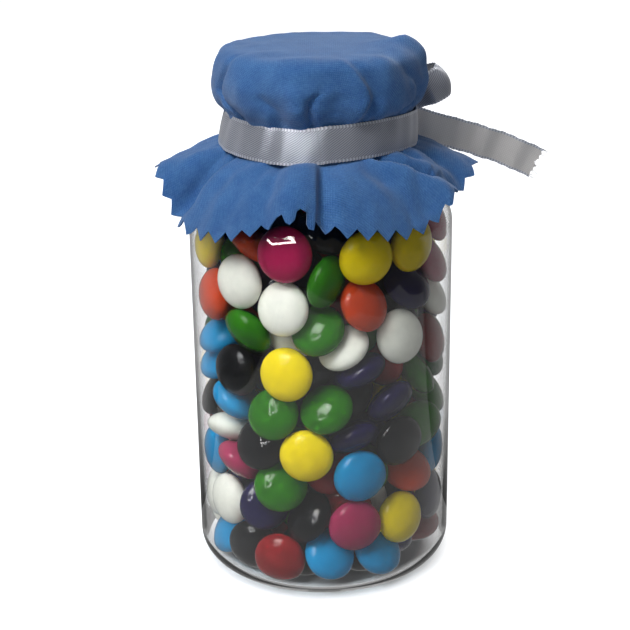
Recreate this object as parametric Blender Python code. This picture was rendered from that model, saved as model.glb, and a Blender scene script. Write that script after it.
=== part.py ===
"""A clear jar of sugar-shelled chocolate buttons under a cloth cover tied with ribbon.

All sizes are in millimetres and are turned to metres where a mesh is made.  The jar stands on
its base at the origin, +Z is up its axis, and its front looks along -Y.  Angles round the jar
are in degrees from the front, positive to the right.
"""
import math
import random

import bmesh
import bpy
import numpy as np
from mathutils import Matrix

MM = 0.001
GAP = 0.3                     # clearance between pieces that touch
BUTTON_GAP = 0.45             # clearance between the buttons and the inside of the jar

# Jar: blown clear plastic with a round heel, a sloping shoulder and an open neck.
JAR_RADIUS = 36.5
JAR_WALL = 1.0
JAR_FLOOR = 1.5
HEEL_RADIUS = 7.3
HEEL_INSIDE = 6.0
SHOULDER_HEIGHT = 100.0       # where the wall starts to turn in
SHOULDER_RADIUS = 9.0
SHOULDER_TURN = 60            # degrees
NECK_RADIUS = 24.4
NECK_BEND = 5.0               # radius of the bend between shoulder and neck
NECK_TOP = 145.6
JAR_SIDES = 40

# Lid: a plain cap over the neck.
LID_RADIUS = 25.8
LID_EDGE = 1.5                # radius of its top edge
LID_WALL = 1.0
LID_BOTTOM = 134.9
LID_TOP = 147.0
LID_SIDES = 40

# Cloth cover: a round of cotton with a pinked edge, drawn in round the neck.
CLOTH_THICK = 0.8
TOOTH_PITCH = 5.25            # from tooth to tooth along the hem
TOOTH_DEPTH = 2.1
HEM_SAMPLES = 1440            # steps in which the hem is measured to space its teeth
CLOTH_NECK = 25.4             # middle of the cloth where the ribbon draws it in
TIE_MARGIN = 0.9              # cloth drawn in above and below the ribbon
# The cloth's middle line over the lid, from the centre out: radius and height.
CLOTH_DOME = ((0, 147.9), (24.0, 147.7), (26.9, 146.4), (28.1, 142.6), (28.4, 138.4),
              (27.6, 135.3))
DOME_FULLNESS = (0, 0.05, 0.2, 0.8, 1.0, 0.5)    # share of each fold's depth there
# Folds over the lid's side: angle, half width in degrees, and depth (negative stands out).
DOME_FOLDS = ((-64, 7, 1.6), (-82, 11, -1.1), (-27, 7, 0.8), (-12, 8, -0.8), (0, 8, 1.5),
              (26, 7, -1.3), (43, 9, 1.2), (69, 6, 1.6), (82, 9, -1.0), (104, 8, 1.3),
              (128, 9, -1.1), (146, 9, 1.4), (171, 10, -1.2), (196, 8, 1.5), (219, 10, -1.1),
              (242, 8, 1.4), (261, 7, -0.9))
# The skirt's hem: angle, radius and height of the lobes and of the tucks between them.
HEM = ((-176, 42.5, 114.5), (-153, 39.2, 107.0), (-130, 39.0, 109.5), (-109, 41.0, 112.8),
       (-92, 42.8, 116.0), (-84, 43.2, 116.2), (-77, 42.8, 113.9), (-72.5, 41.9, 109.6),
       (-68, 40.9, 105.9), (-58, 40.2, 104.9), (-48, 39.7, 104.7), (-40.5, 39.5, 105.2),
       (-32, 39.3, 106.7), (-25, 39.0, 108.4), (-18, 38.7, 110.4), (-12.5, 38.4, 112.0),
       (-8.5, 38.0, 112.4), (-4.5, 38.0, 110.9), (1.5, 38.2, 109.4), (11.5, 38.8, 108.1),
       (19.4, 39.1, 107.4), (27.3, 39.4, 106.7), (35.8, 39.7, 106.4), (44, 40.1, 107.6),
       (50, 40.4, 110.0), (55, 40.6, 112.9), (58.5, 40.4, 114.2), (63, 38.8, 113.6),
       (68, 38.2, 111.8), (73, 39.2, 112.2), (78, 40.8, 114.6), (84, 41.4, 116.2),
       (93, 40.6, 116.0), (104, 40.0, 113.8), (117, 39.4, 110.8), (132, 39.0, 108.0),
       (150, 39.2, 107.0), (168, 40.6, 111.0))
SKIRT_ARCH = 2.4              # how far the skirt bows up above a straight line
SKIRT_BOW = 0.6               # its bow outward, as a share of that
SKIRT_RINGS = 4

# Ribbon: a narrow band round the gathered cloth, a knot at the back right, two loops, two ends.
RIBBON_WIDTH = 9.2
RIBBON_THICK = 0.6
RIBBON_RADIUS = 26.5          # middle of the band
RIBBON_HEIGHT = 127.2
RIBBON_LIFT = 0.3             # how much higher the band runs on the right
RIBBON_DIP = 0.7              # how much lower it runs in front
BAND_SIDES = 48
KNOT_ANGLE = 146
KNOT_SIZE = (9.0, 6.4, 9.6)   # along the band, out from it, and up
KNOT_ROUND = 1.6
KNOT_OVERLAP = 0.3            # how deep the knot sits in the band
STRAP_THICK = 0.8             # loops and ends, which are single solid strips here
STRAP_STEPS = 14
LOOP_MOUTH = 1.6              # half the distance between a loop's two ends in the knot
LOOP_GAP = 6.0                # widest opening of a loop
LOOP_LEAN = 1.8               # how far a loop bows to the far side of its middle line
# Loops: direction out of the knot, direction of the ribbon's width, and length.
LOOPS = (((0.90, -0.28, 0.30), (0.50, 0.10, -0.86), 20.5),
         ((-0.62, 0.60, 0.50), (0.25, 0.20, 0.95), 22.0))
# Ends: curve points from the knot to the cut end, and the direction of the ribbon's width.
TAILS = ((((23, 27, 119.5), (44, 25, 119.5), (63.2, 25, 109.0)), (0.25, -0.10, 0.95)),
         (((20, 38, 130), (6, 53, 119), (0, 49, 92)), (0.90, -0.30, 0.00)))

# Buttons: flattened rounds of chocolate in a sugar shell.
BUTTON_RADIUS = 7.5
BUTTON_HALF = 4.0             # half thickness
BUTTON_COUNT = 285
BUTTON_SIDES = 8
FILL_TOP = 116.0
SEED = 5
# Buttons set by hand behind the front of the glass, in tiers from the base up: angle round the
# jar, height of the centre, angle that the face looks to, tilt of the face, depth behind glass.
FRONT_BUTTONS = (
    (-78, 7, -30, 35, 0), (-50, 10, 0, 15, 2), (-23, 10, -12, 22, 0), (-5, 4, 0, 60, 5),
    (2, 11, 57, 55, 0), (21, 2, -20, 60, 6), (31, 8, 22, 45, 0), (85, 8, 60, -10, 1),
    (84, 2, -40, 55, 0),
    (-85, 20, -88, -5, 0), (-63, 22, -62, 5, 0), (-39, 23, 18, 45, 0), (-9, 22, -75, 40, 1),
    (11, 24, 20, 50, 7), (16, 20, 15, 22, 0), (46, 19, 42, 15, 0), (47, 21, -40, 50, 8),
    (85, 24, 70, 0, 1), (85, 13, 70, 5, 0),
    (-85, 30, -65, 5, 0), (-55, 34, 78, 70, 0), (-24, 31, 15, 42, 0), (-1, 30, 0, 60, 7),
    (18, 25, 0, 60, 9), (20, 36, 10, -16, 0), (56, 31, 15, 38, 0), (85, 32, 70, 0, 0),
    (-71, 41, 65, 75, 0), (-37, 44, -30, 45, 1), (-8, 42, -5, 20, 0), (17, 46, -80, 70, 1),
    (45, 44, 35, 20, 0), (85, 37, 55, -5, 1), (66, 43, 20, 12, 0),
    (-85, 52, -70, 0, 0), (-58, 52, 60, 72, 0), (-27, 52, -2, 52, 0), (-18, 54, 0, 60, 8),
    (3, 56, -92, 56, 0), (37, 54, -88, 64, 0), (63, 52, 55, 5, 4), (85, 54, 65, 8, 0),
    (-84, 61, -45, 30, 0), (-50, 63, -35, 30, 0), (-17, 65, -20, 20, 0), (5, 63, 0, 50, 6),
    (24, 64, -93, 66, 0), (68, 60, 85, 62, 0), (85, 61, 60, 0, 0), (85, 66, 65, 12, 0),
    (-84, 68, -50, 48, 0), (-46, 74, 80, 48, 0), (-16, 71, 0, 60, 5), (-1, 76, -60, 55, 0),
    (14, 72, -105, 52, 0), (43, 74, 35, 15, 0), (85, 70, 60, 0, 2), (85, 78, 62, 10, 0),
    (-85, 77, -80, 0, 2), (-69, 83, -84, 5, 0), (-20, 84, -15, 18, 0), (21, 84, 62, 38, 0),
    (55, 86, 15, 40, 1), (67, 88, 0, 20, 9),
    (-86, 91, -20, 40, 5), (-85, 94, -60, -5, 0), (-44, 90, -66, 0, 0), (-43, 89, 0, 40, 6),
    (1, 91, -86, 22, 0), (85, 91, 70, 15, 0),
    (-48, 98, 60, 60, 2), (-15, 99, -10, 15, 0), (6, 103, 0, 65, 4), (21, 98, 40, 22, 0),
    (51, 100, 38, 15, 0), (85, 101, 75, 10, 0),
)
FRONT_DEPTH = 5.0             # how far behind the glass the rest stay where the placed ones show
HEAP_CORE_RADIUS = 27.0
HEAP_CORE_TAPER = 6.0         # how much narrower the core is at the top
HEAP_CORE_ENDS = (6.5, 110.0)
HEAP_SKIN = 5.0               # buttons that come this near the heap's outside are modelled

# Filling: the rest start at random places clear of the glass, the base and the top.
FILL_MARGIN = 5.0
FILL_TRIES = 12
PLACED_ZONE = 21.0            # in front, the placed ones fill what lies farther out than this
SHOULDER_ZONE = 24.0          # and none starts farther out than this in the shoulder
SHOULDER_START = 103.0        # which begins at this height for them
FRONT_LINE = 4.0              # those nearer the front than this stay behind the placed ones
FRONT_TOP = 108.0             # below this height

# Settling: rounds of pushing apart and how firmly the placed ones are held in each stage.
STAGES = ((300, 0.95), (200, 0.5), (200, 0.1), (80, 0.0))
HOLDS = ((2, 1.0), (4, 0.8), (12, 0.5))    # share of it by depth behind the glass
PUSH_SHARE = 0.45             # share of each push and turn made in a round
PLACE_SHARE = 0.25            # share of its drift that a held one goes back in a round
FACE_SHARE = 0.3              # the same for its turn
DEPTH_FREEDOM = 0.6           # share of its drift towards or from the glass that stays
WAY_ROUNDS = 8                # rounds of looking for the way in which two are closest
WAY_STEP = 0.07               # and the turn of the way in each, per millimetre

JAR_PLASTIC = ("clear_plastic", (0.80, 0.84, 0.86), 0.05)
LID_PLASTIC = ("lid_plastic", (0.75, 0.76, 0.78), 0.40)
CLOTH_COTTON = ("blue_cotton", (0.075, 0.185, 0.420), 0.85)
RIBBON_SATIN = ("silver_satin", (0.420, 0.430, 0.500), 0.35)
BUTTON_SHELL = ("sugar_shell", (0.560, 0.130, 0.080), 0.25)


def round_jar(radius, angle, height):
    """The point at a radius, an angle from the front and a height."""
    turn = math.radians(angle)
    return (radius * math.sin(turn), -radius * math.cos(turn), height)


def finish(kind):
    """A Principled material from its name, linear colour and roughness."""
    name, colour, roughness = kind
    material = bpy.data.materials.new(name)
    material.use_nodes = True
    shader = material.node_tree.nodes["Principled BSDF"]
    shader.inputs["Base Color"].default_value = (*colour, 1.0)
    shader.inputs["Roughness"].default_value = roughness
    shader.inputs["Metallic"].default_value = 0.0
    return material


def add_object(name, mesh_in_mm, kind):
    """Put a bmesh that is in millimetres into the scene as an object, shaded smooth."""
    bmesh.ops.recalc_face_normals(mesh_in_mm, faces=mesh_in_mm.faces)
    bmesh.ops.scale(mesh_in_mm, vec=(MM, MM, MM), verts=mesh_in_mm.verts)
    data = bpy.data.meshes.new(name)
    mesh_in_mm.to_mesh(data)
    mesh_in_mm.free()
    data.shade_smooth()
    data.set_sharp_from_angle(angle=math.radians(40))
    thing = bpy.data.objects.new(name, data)
    bpy.context.scene.collection.objects.link(thing)
    thing.data.materials.append(finish(kind))
    return thing


def arc(centre, radius, start, end, steps):
    """Points of an arc in the radius-height plane, angles in degrees from outward."""
    points = []
    for step in range(steps + 1):
        turn = math.radians(start + (end - start) * step / steps)
        points.append((centre[0] + radius * math.cos(turn), centre[1] + radius * math.sin(turn)))
    return points


def turned(name, profile, sides, kind):
    """A closed radius-height outline turned about the axis."""
    shape = bmesh.new()
    ring = [shape.verts.new((radius, 0, height)) for radius, height in profile]
    edges = [shape.edges.new(pair) for pair in zip(ring, ring[1:] + ring[:1])
             if pair[0].co.x > 0 or pair[1].co.x > 0]
    bmesh.ops.spin(shape, geom=ring + edges, cent=(0, 0, 0), axis=(0, 0, 1),
                   angle=math.tau, steps=sides, use_merge=True)
    bmesh.ops.remove_doubles(shape, verts=shape.verts, dist=0.01)
    return add_object(name, shape, kind)


def jar():
    """The jar: outside from the base up to the rim, then back down the inside."""
    heel = (JAR_RADIUS - HEEL_RADIUS, HEEL_RADIUS)
    heel_inside = (JAR_RADIUS - JAR_WALL - HEEL_INSIDE, JAR_FLOOR + HEEL_INSIDE)
    shoulder = (JAR_RADIUS - SHOULDER_RADIUS, SHOULDER_HEIGHT)
    outer_end = arc(shoulder, SHOULDER_RADIUS, SHOULDER_TURN, SHOULDER_TURN, 1)[0]
    bend_radius = NECK_RADIUS + NECK_BEND
    run_in = outer_end[0] - (bend_radius - NECK_BEND * math.cos(math.radians(SHOULDER_TURN)))
    bend_low = outer_end[1] + run_in / math.tan(math.radians(SHOULDER_TURN))
    bend = (bend_radius, bend_low + NECK_BEND * math.sin(math.radians(SHOULDER_TURN)))
    outside = ([(0, 0)] + arc(heel, HEEL_RADIUS, -90, 0, 4)
               + arc(shoulder, SHOULDER_RADIUS, 0, SHOULDER_TURN, 4)
               + arc(bend, NECK_BEND, 180 + SHOULDER_TURN, 180, 2) + [(NECK_RADIUS, NECK_TOP)])
    inside = ([(0, JAR_FLOOR)] + arc(heel_inside, HEEL_INSIDE, -90, 0, 4)
              + arc(shoulder, SHOULDER_RADIUS - JAR_WALL, 0, SHOULDER_TURN, 4)
              + arc(bend, NECK_BEND + JAR_WALL, 180 + SHOULDER_TURN, 180, 2)
              + [(NECK_RADIUS - JAR_WALL, NECK_TOP)])
    return turned("jar", outside + inside[::-1], JAR_SIDES, JAR_PLASTIC)


def lid():
    """The cap that closes the neck, open below."""
    inner = LID_RADIUS - LID_WALL
    ceiling = NECK_TOP + GAP
    profile = ([(0, ceiling), (inner, ceiling), (inner, LID_BOTTOM), (LID_RADIUS, LID_BOTTOM)]
               + arc((LID_RADIUS - LID_EDGE, LID_TOP - LID_EDGE), LID_EDGE, 0, 90, 2) + [(0, LID_TOP)])
    return turned("lid", profile, LID_SIDES, LID_PLASTIC)


def ease(share):
    """A smooth step from 0 to 1."""
    return share * share * (3 - 2 * share)


def hem_point(angle):
    """The hem's radius and height at an angle, eased between the lobes and tucks of HEM."""
    angle = (angle - HEM[0][0]) % 360 + HEM[0][0]
    stops = HEM + ((HEM[0][0] + 360, *HEM[0][1:]),)
    for low, high in zip(stops, stops[1:]):
        if angle <= high[0]:
            share = ease((angle - low[0]) / (high[0] - low[0]))
            return (low[1] + (high[1] - low[1]) * share, low[2] + (high[2] - low[2]) * share)
    return HEM[0][1:]


def dome_fold(angle):
    """How far the folds draw the cloth in at an angle, before their share at a ring."""
    depth = 0.0
    for place, half_width, amount in DOME_FOLDS:
        away = (angle - place + 180) % 360 - 180
        depth += amount * math.exp(-(away / half_width) ** 2)
    return depth


def hem_columns():
    """Angles of the cloth's columns: one at each notch of the hem and one at each tooth."""
    angles = np.linspace(-180, 180, HEM_SAMPLES + 1)
    line = np.array([round_jar(hem_point(a)[0], a, hem_point(a)[1]) for a in angles])
    runs = np.concatenate(([0], np.cumsum(np.linalg.norm(np.diff(line, axis=0), axis=1))))
    count = 2 * round(runs[-1] / TOOTH_PITCH)
    return np.interp(np.arange(count) / count * runs[-1], runs, angles)


def cloth_rings():
    """The cloth's middle surface: rings of points from the lid's centre out to the hem."""
    columns = hem_columns()
    rings = []
    for (radius, height), share in zip(CLOTH_DOME[1:], DOME_FULLNESS[1:]):
        rings.append([round_jar(radius - share * dome_fold(a), a, height) for a in columns])
    tie = RIBBON_WIDTH / 2 + TIE_MARGIN
    for edge in (tie, -tie):
        rings.append([round_jar(CLOTH_NECK, a, band_height(a) + edge) for a in columns])
    for step in range(1, SKIRT_RINGS + 1):
        share = step / SKIRT_RINGS
        arch = SKIRT_ARCH * 4 * share * (1 - share)
        ring = []
        for angle in columns:
            radius, height = hem_point(angle)
            root = band_height(angle) - tie
            ring.append(round_jar(CLOTH_NECK + (radius - CLOTH_NECK) * share + SKIRT_BOW * arch,
                                  angle, root + (height - root) * share + arch))
        rings.append(ring)
    grid = np.array(rings)
    run = grid[-1] - grid[-2]
    run /= np.linalg.norm(run, axis=1, keepdims=True)
    grid[-1, 1::2] += run[1::2] * TOOTH_DEPTH
    return grid


def cloth_side(shape, rings, normals, side):
    """One face of the cloth, half its thickness from the middle; returns its hem loop."""
    lift = side * CLOTH_THICK / 2
    centre = shape.verts.new((0, 0, CLOTH_DOME[0][1] + lift))
    sheets = [[shape.verts.new(point) for point in row] for row in rings + normals * lift]
    count = len(sheets[0])
    for i in range(count):
        j = (i + 1) % count
        shape.faces.new((centre, sheets[0][i], sheets[0][j]))
        for upper, lower in zip(sheets, sheets[1:]):
            shape.faces.new((upper[i], lower[i], lower[j]))
            shape.faces.new((upper[i], lower[j], upper[j]))
    return sheets[-1]


def cloth_cover():
    """The pinked round of cloth as a thin closed skin."""
    rings = cloth_rings()
    across = np.roll(rings, -1, axis=1) - np.roll(rings, 1, axis=1)
    down = np.gradient(rings, axis=0)
    normals = np.cross(across, down)
    normals /= -np.linalg.norm(normals, axis=2, keepdims=True)
    shape = bmesh.new()
    top = cloth_side(shape, rings, normals, 1)
    under = cloth_side(shape, rings, normals, -1)
    for i in range(len(top)):
        j = (i + 1) % len(top)
        shape.faces.new((top[i], under[i], under[j]))
        shape.faces.new((top[i], under[j], top[j]))
    return add_object("cloth_cover", shape, CLOTH_COTTON)


def box_between(shape, rows):
    """A closed strip through rows of four corner points, capped at both ends."""
    corners = [[shape.verts.new(point) for point in row] for row in rows]
    for near, far in zip(corners, corners[1:]):
        for i in range(4):
            j = (i + 1) % 4
            shape.faces.new((near[i], near[j], far[j], far[i]))
    shape.faces.new(corners[0][::-1])
    shape.faces.new(corners[-1])


def band_height(angle):
    """The ribbon's middle height where it runs round the neck."""
    turn = math.radians(angle)
    return RIBBON_HEIGHT + RIBBON_LIFT * math.sin(turn) - RIBBON_DIP * math.cos(turn)


def band():
    """The ribbon's closed turn round the neck."""
    shape = bmesh.new()
    rings = []
    for step in range(BAND_SIDES):
        angle = 360 * step / BAND_SIDES
        middle = band_height(angle)
        rings.append([shape.verts.new(round_jar(RIBBON_RADIUS + out * RIBBON_THICK / 2, angle,
                                                middle + up * RIBBON_WIDTH / 2))
                      for out, up in ((1, -1), (1, 1), (-1, 1), (-1, -1))])
    for near, far in zip(rings, rings[1:] + rings[:1]):
        for i in range(4):
            j = (i + 1) % 4
            shape.faces.new((near[i], near[j], far[j], far[i]))
    return shape


def strap(path, across):
    """A ribbon strip along a path, its width as near as can be to the direction across."""
    points = np.array(path, float)
    along = np.gradient(points, axis=0)
    along /= np.linalg.norm(along, axis=1, keepdims=True)
    wide = np.array(across, float) - (along @ across)[:, None] * along
    wide /= np.linalg.norm(wide, axis=1, keepdims=True)
    thick = np.cross(along, wide)
    shape = bmesh.new()
    rows = []
    for point, side, face in zip(points, wide, thick):
        rows.append([point + side * w * RIBBON_WIDTH / 2 + face * t * STRAP_THICK / 2
                     for w, t in ((-1, -1), (1, -1), (1, 1), (-1, 1))])
    box_between(shape, rows)
    bmesh.ops.triangulate(shape, faces=shape.faces)
    return shape


def bezier(points, steps):
    """Points along a Bezier curve of any order."""
    curve = []
    for step in range(steps + 1):
        share = step / steps
        level = [np.array(p, float) for p in points]
        while len(level) > 1:
            level = [a + (b - a) * share for a, b in zip(level, level[1:])]
        curve.append(level[0])
    return curve


def loop_path(start, outward, across, length):
    """Points round a loop: out from the knot, over and back, in one plane."""
    outward = np.array(outward) / np.linalg.norm(outward)
    aside = np.cross(outward, across)
    aside /= np.linalg.norm(aside)
    path = []
    for step in range(STRAP_STEPS + 1):
        turn = math.pi * step / STRAP_STEPS
        away = (LOOP_LEAN * math.sin(turn) - LOOP_MOUTH * math.cos(turn)
                - LOOP_GAP / 2 * math.sin(2 * turn))
        path.append(start + outward * length * math.sin(turn) + aside * away)
    return path


def ribbon():
    """Band, knot, two loops and two ends, joined into one solid."""
    knot_at = np.array(round_jar(RIBBON_RADIUS + KNOT_SIZE[1] / 2 - KNOT_OVERLAP, KNOT_ANGLE,
                                 band_height(KNOT_ANGLE)))
    knot = bmesh.new()
    bmesh.ops.create_cube(knot, size=1)
    bmesh.ops.scale(knot, vec=KNOT_SIZE, verts=knot.verts)
    bmesh.ops.bevel(knot, geom=knot.edges, offset=KNOT_ROUND, segments=2, affect="EDGES")
    turn = Matrix.Rotation(math.radians(KNOT_ANGLE), 3, "Z")
    bmesh.ops.rotate(knot, cent=(0, 0, 0), matrix=turn, verts=knot.verts)
    bmesh.ops.translate(knot, vec=knot_at, verts=knot.verts)
    pieces = [band(), knot]
    for outward, across, length in LOOPS:
        pieces.append(strap(loop_path(knot_at, outward, across, length), across))
    for curve, across in TAILS:
        pieces.append(strap(bezier((knot_at, *curve), STRAP_STEPS // 2), across))
    return join("ribbon", pieces, RIBBON_SATIN)


def join(name, shapes, kind):
    """Fuse closed shapes into one solid with one Boolean, keep its largest body."""
    cutters = bpy.data.collections.new(name + "_pieces")
    bpy.context.scene.collection.children.link(cutters)
    whole = add_object(name, shapes[0], kind)
    for number, shape in enumerate(shapes[1:]):
        piece = add_object(f"{name}_{number}", shape, kind)
        bpy.context.scene.collection.objects.unlink(piece)
        cutters.objects.link(piece)
    union = whole.modifiers.new("fuse", "BOOLEAN")
    union.operation = "UNION"
    union.operand_type = "COLLECTION"
    union.collection = cutters
    fused = bpy.data.meshes.new_from_object(
        whole.evaluated_get(bpy.context.evaluated_depsgraph_get()))
    whole.modifiers.clear()
    whole.data = fused
    for piece in list(cutters.objects):
        bpy.data.objects.remove(piece)
    bpy.data.collections.remove(cutters)
    keep_largest(whole)
    return whole


def keep_largest(thing):
    """Drop loose scraps and the skins of sealed hollows: all but the body with most faces."""
    shape = bmesh.new()
    shape.from_mesh(thing.data)
    bmesh.ops.triangulate(shape, faces=shape.faces)
    bmesh.ops.remove_doubles(shape, verts=shape.verts, dist=0.002 * MM)
    bodies = []
    left = set(shape.faces)
    while left:
        body = set()
        edge = {left.pop()}
        while edge:
            body |= edge
            edge = {f for face in edge for side in face.edges for f in side.link_faces} - body
        left -= body
        bodies.append(body)
    bodies.sort(key=len)
    scraps = [face for body in bodies[:-1] for face in body]
    bmesh.ops.delete(shape, geom=scraps, context="FACES")
    shape.to_mesh(thing.data)
    shape.free()
    thing.data.shade_smooth()
    thing.data.set_sharp_from_angle(angle=math.radians(40))


def dot(a, b):
    """Row by row dot product, summed in a fixed order."""
    return a[:, 0] * b[:, 0] + a[:, 1] * b[:, 1] + a[:, 2] * b[:, 2]


def cross(a, b):
    """Row by row cross product."""
    return np.stack((a[:, 1] * b[:, 2] - a[:, 2] * b[:, 1],
                     a[:, 2] * b[:, 0] - a[:, 0] * b[:, 2],
                     a[:, 0] * b[:, 1] - a[:, 1] * b[:, 0]), 1)


def unit(a):
    """Rows scaled to length one."""
    return a / np.sqrt(dot(a, a))[:, None]


def reach(axes, ways):
    """From each button's centre to the point of it that lies farthest along each way."""
    flat = BUTTON_HALF ** 2 - BUTTON_RADIUS ** 2
    lean = dot(axes, ways)
    far = np.sqrt(BUTTON_RADIUS ** 2 + flat * lean ** 2)
    return (BUTTON_RADIUS ** 2 * ways + flat * lean[:, None] * axes) / far[:, None]


def touching(centres, axes):
    """Pairs of buttons that cross: their numbers, the way between, arms and depth."""
    one, two = np.triu_indices(len(centres), 1)
    between = centres[two] - centres[one]
    near = dot(between, between) < (2 * BUTTON_RADIUS) ** 2
    one, two, between = one[near], two[near], between[near]
    way = unit(between)
    for _ in range(WAY_ROUNDS):
        gap = between - reach(axes[one], way) - reach(axes[two], way)
        way = unit(way + WAY_STEP * (gap - dot(gap, way)[:, None] * way))
    arm_one, arm_two = reach(axes[one], way), -reach(axes[two], way)
    depth = dot(arm_one - arm_two - between, way)
    hit = depth > 0
    return one[hit], two[hit], way[hit], arm_one[hit], arm_two[hit], depth[hit]


def jar_walls():
    """Slices of the jar's inside: slope outward and up, then corner radius, height and size."""
    floor, corner = JAR_FLOOR + BUTTON_GAP, HEEL_INSIDE - BUTTON_GAP
    inner = JAR_RADIUS - JAR_WALL - BUTTON_GAP
    walls = []
    for slope in (0, -15, -30, -45, -60, -75, -90):
        walls.append((slope, inner - corner, floor + corner, corner))
    for slope in (20, 40, 60):
        walls.append((slope, JAR_RADIUS - SHOULDER_RADIUS, SHOULDER_HEIGHT,
                      SHOULDER_RADIUS - JAR_WALL - BUTTON_GAP))
    walls.append((90, 0.0, FILL_TOP, 0.0))
    return [(round(math.cos(math.radians(slope)), 12), round(math.sin(math.radians(slope)), 12),
             *size) for slope, *size in walls]


def settle(centres, axes, behind, held, rounds, hold):
    """Push crossing buttons apart and off the jar, the held ones drawn back to their places."""
    inertia = (BUTTON_RADIUS ** 2 + BUTTON_HALF ** 2) / 5
    count = len(centres)
    homes, faces = centres.copy(), axes.copy()
    outward = homes * (1, 1, 0)
    outward = unit(outward + 1e-9)
    give = (1 - hold * held)[:, None]
    walls = jar_walls()
    for _ in range(rounds):
        shift, spin = np.zeros_like(centres), np.zeros_like(centres)
        one, two, way, arm_one, arm_two, depth = touching(centres, axes)
        twist_one, twist_two = cross(arm_one, way), cross(arm_two, way)
        push = depth / (2 + (dot(twist_one, twist_one) + dot(twist_two, twist_two)) / inertia)
        for k in range(3):
            shift[:, k] += (np.bincount(two, push * way[:, k], count)
                            - np.bincount(one, push * way[:, k], count))
            spin[:, k] += (np.bincount(two, push * twist_two[:, k], count)
                           - np.bincount(one, push * twist_one[:, k], count)) / inertia
        for level, rise, radius, height, corner in walls:
            out = unit(centres * (1, 1, 0) + 1e-9)
            for _ in range(3):
                way = out * level + (0, 0, rise)
                out = unit((centres + reach(axes, way)) * (1, 1, 0) + 1e-9)
            way = out * level + (0, 0, rise)
            arm = reach(axes, way)
            depth = dot(centres + arm, way) - (radius * level + height * rise + corner)
            depth = np.maximum(depth + behind * level, 0)
            twist = cross(arm, way)
            push = (depth / (1 + dot(twist, twist) / inertia))[:, None]
            shift -= push * way
            spin -= push * twist / inertia
        centres = centres + PUSH_SHARE * give * shift
        axes = unit(axes + PUSH_SHARE * give * cross(spin, axes))
        back = homes - centres
        back -= DEPTH_FREEDOM * dot(back, outward)[:, None] * outward
        centres = centres + (PLACE_SHARE * hold * held)[:, None] * back
        axes = unit(axes + (FACE_SHARE * hold * held)[:, None] * (faces - axes))
    return centres, axes


def placed_buttons():
    """Centres and axes of the buttons set by hand, each brought up to the glass."""
    centres, axes = [], []
    inner = JAR_RADIUS - JAR_WALL - BUTTON_GAP
    for angle, height, facing, tilt, behind in FRONT_BUTTONS:
        rise = math.radians(tilt)
        axis = round_jar(math.cos(rise), facing, math.sin(rise))
        lean = math.cos(rise) * math.cos(math.radians(facing - angle))
        wide = math.sqrt(BUTTON_RADIUS ** 2 - (BUTTON_RADIUS ** 2 - BUTTON_HALF ** 2) * lean ** 2)
        tall = math.sqrt(BUTTON_RADIUS ** 2
                         - (BUTTON_RADIUS ** 2 - BUTTON_HALF ** 2) * math.sin(rise) ** 2)
        centres.append(round_jar(inner - wide - behind, angle,
                                 max(height, JAR_FLOOR + BUTTON_GAP + tall)))
        axes.append(axis)
    return centres, axes


def filling_buttons(centres, axes):
    """Add the rest at seeded random places, each the farthest of a few from the others."""
    draw = random.Random(SEED)
    while len(centres) < BUTTON_COUNT:
        best, room = None, -1.0
        for _ in range(FILL_TRIES):
            radius = (JAR_RADIUS - JAR_WALL - FILL_MARGIN) * math.sqrt(draw.random())
            angle = 360 * draw.random() - 180
            height = FILL_MARGIN + (FILL_TOP - 2 * FILL_MARGIN) * draw.random()
            spot = round_jar(radius, angle, height)
            in_front = (spot[1] < FILL_MARGIN and radius > PLACED_ZONE
                        and height < FILL_TOP - 2 * FILL_MARGIN)
            in_shoulder = height > SHOULDER_START and radius > SHOULDER_ZONE
            if in_front or in_shoulder:
                continue
            clear = min((spot[0] - c[0]) ** 2 + (spot[1] - c[1]) ** 2 + (spot[2] - c[2]) ** 2
                        for c in centres)
            if clear > room:
                best, room = spot, clear
        rise = math.asin(2 * draw.random() - 1)
        axis = round_jar(math.cos(rise), 360 * draw.random(), math.sin(rise))
        if best:
            centres.append(best)
            axes.append(axis)


def lay_buttons():
    """Centres and unit axes of all the settled buttons, in millimetres."""
    centres, axes = placed_buttons()
    placed = len(centres)
    filling_buttons(centres, axes)
    centres, axes = np.round(np.array(centres), 6), np.round(np.array(axes), 9)
    front = (centres[:, 1] < FRONT_LINE) & (centres[:, 2] < FRONT_TOP)
    behind = np.where(front, FRONT_DEPTH, 0.0)
    behind[:placed] = [row[4] for row in FRONT_BUTTONS]
    held = np.zeros(len(centres))
    held[:placed] = [next(hold for depth, hold in HOLDS if row[4] < depth)
                     for row in FRONT_BUTTONS]
    for rounds, hold in STAGES:
        centres, axes = settle(centres, axes, behind, held, rounds, hold)
    return centres, axes


def button(centre, axis):
    """One button with few sides."""
    shape = bmesh.new()
    bmesh.ops.create_uvsphere(shape, u_segments=BUTTON_SIDES, v_segments=4, radius=1)
    side = unit(np.cross(axis, (0.3, 0.5, 0.8))[None])[0]
    other = np.cross(axis, side)
    for vert in shape.verts:
        x, y, z = vert.co
        place = centre + BUTTON_RADIUS * (x * side + y * other) + BUTTON_HALF * z * axis
        vert.co = place
    return shape


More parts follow.
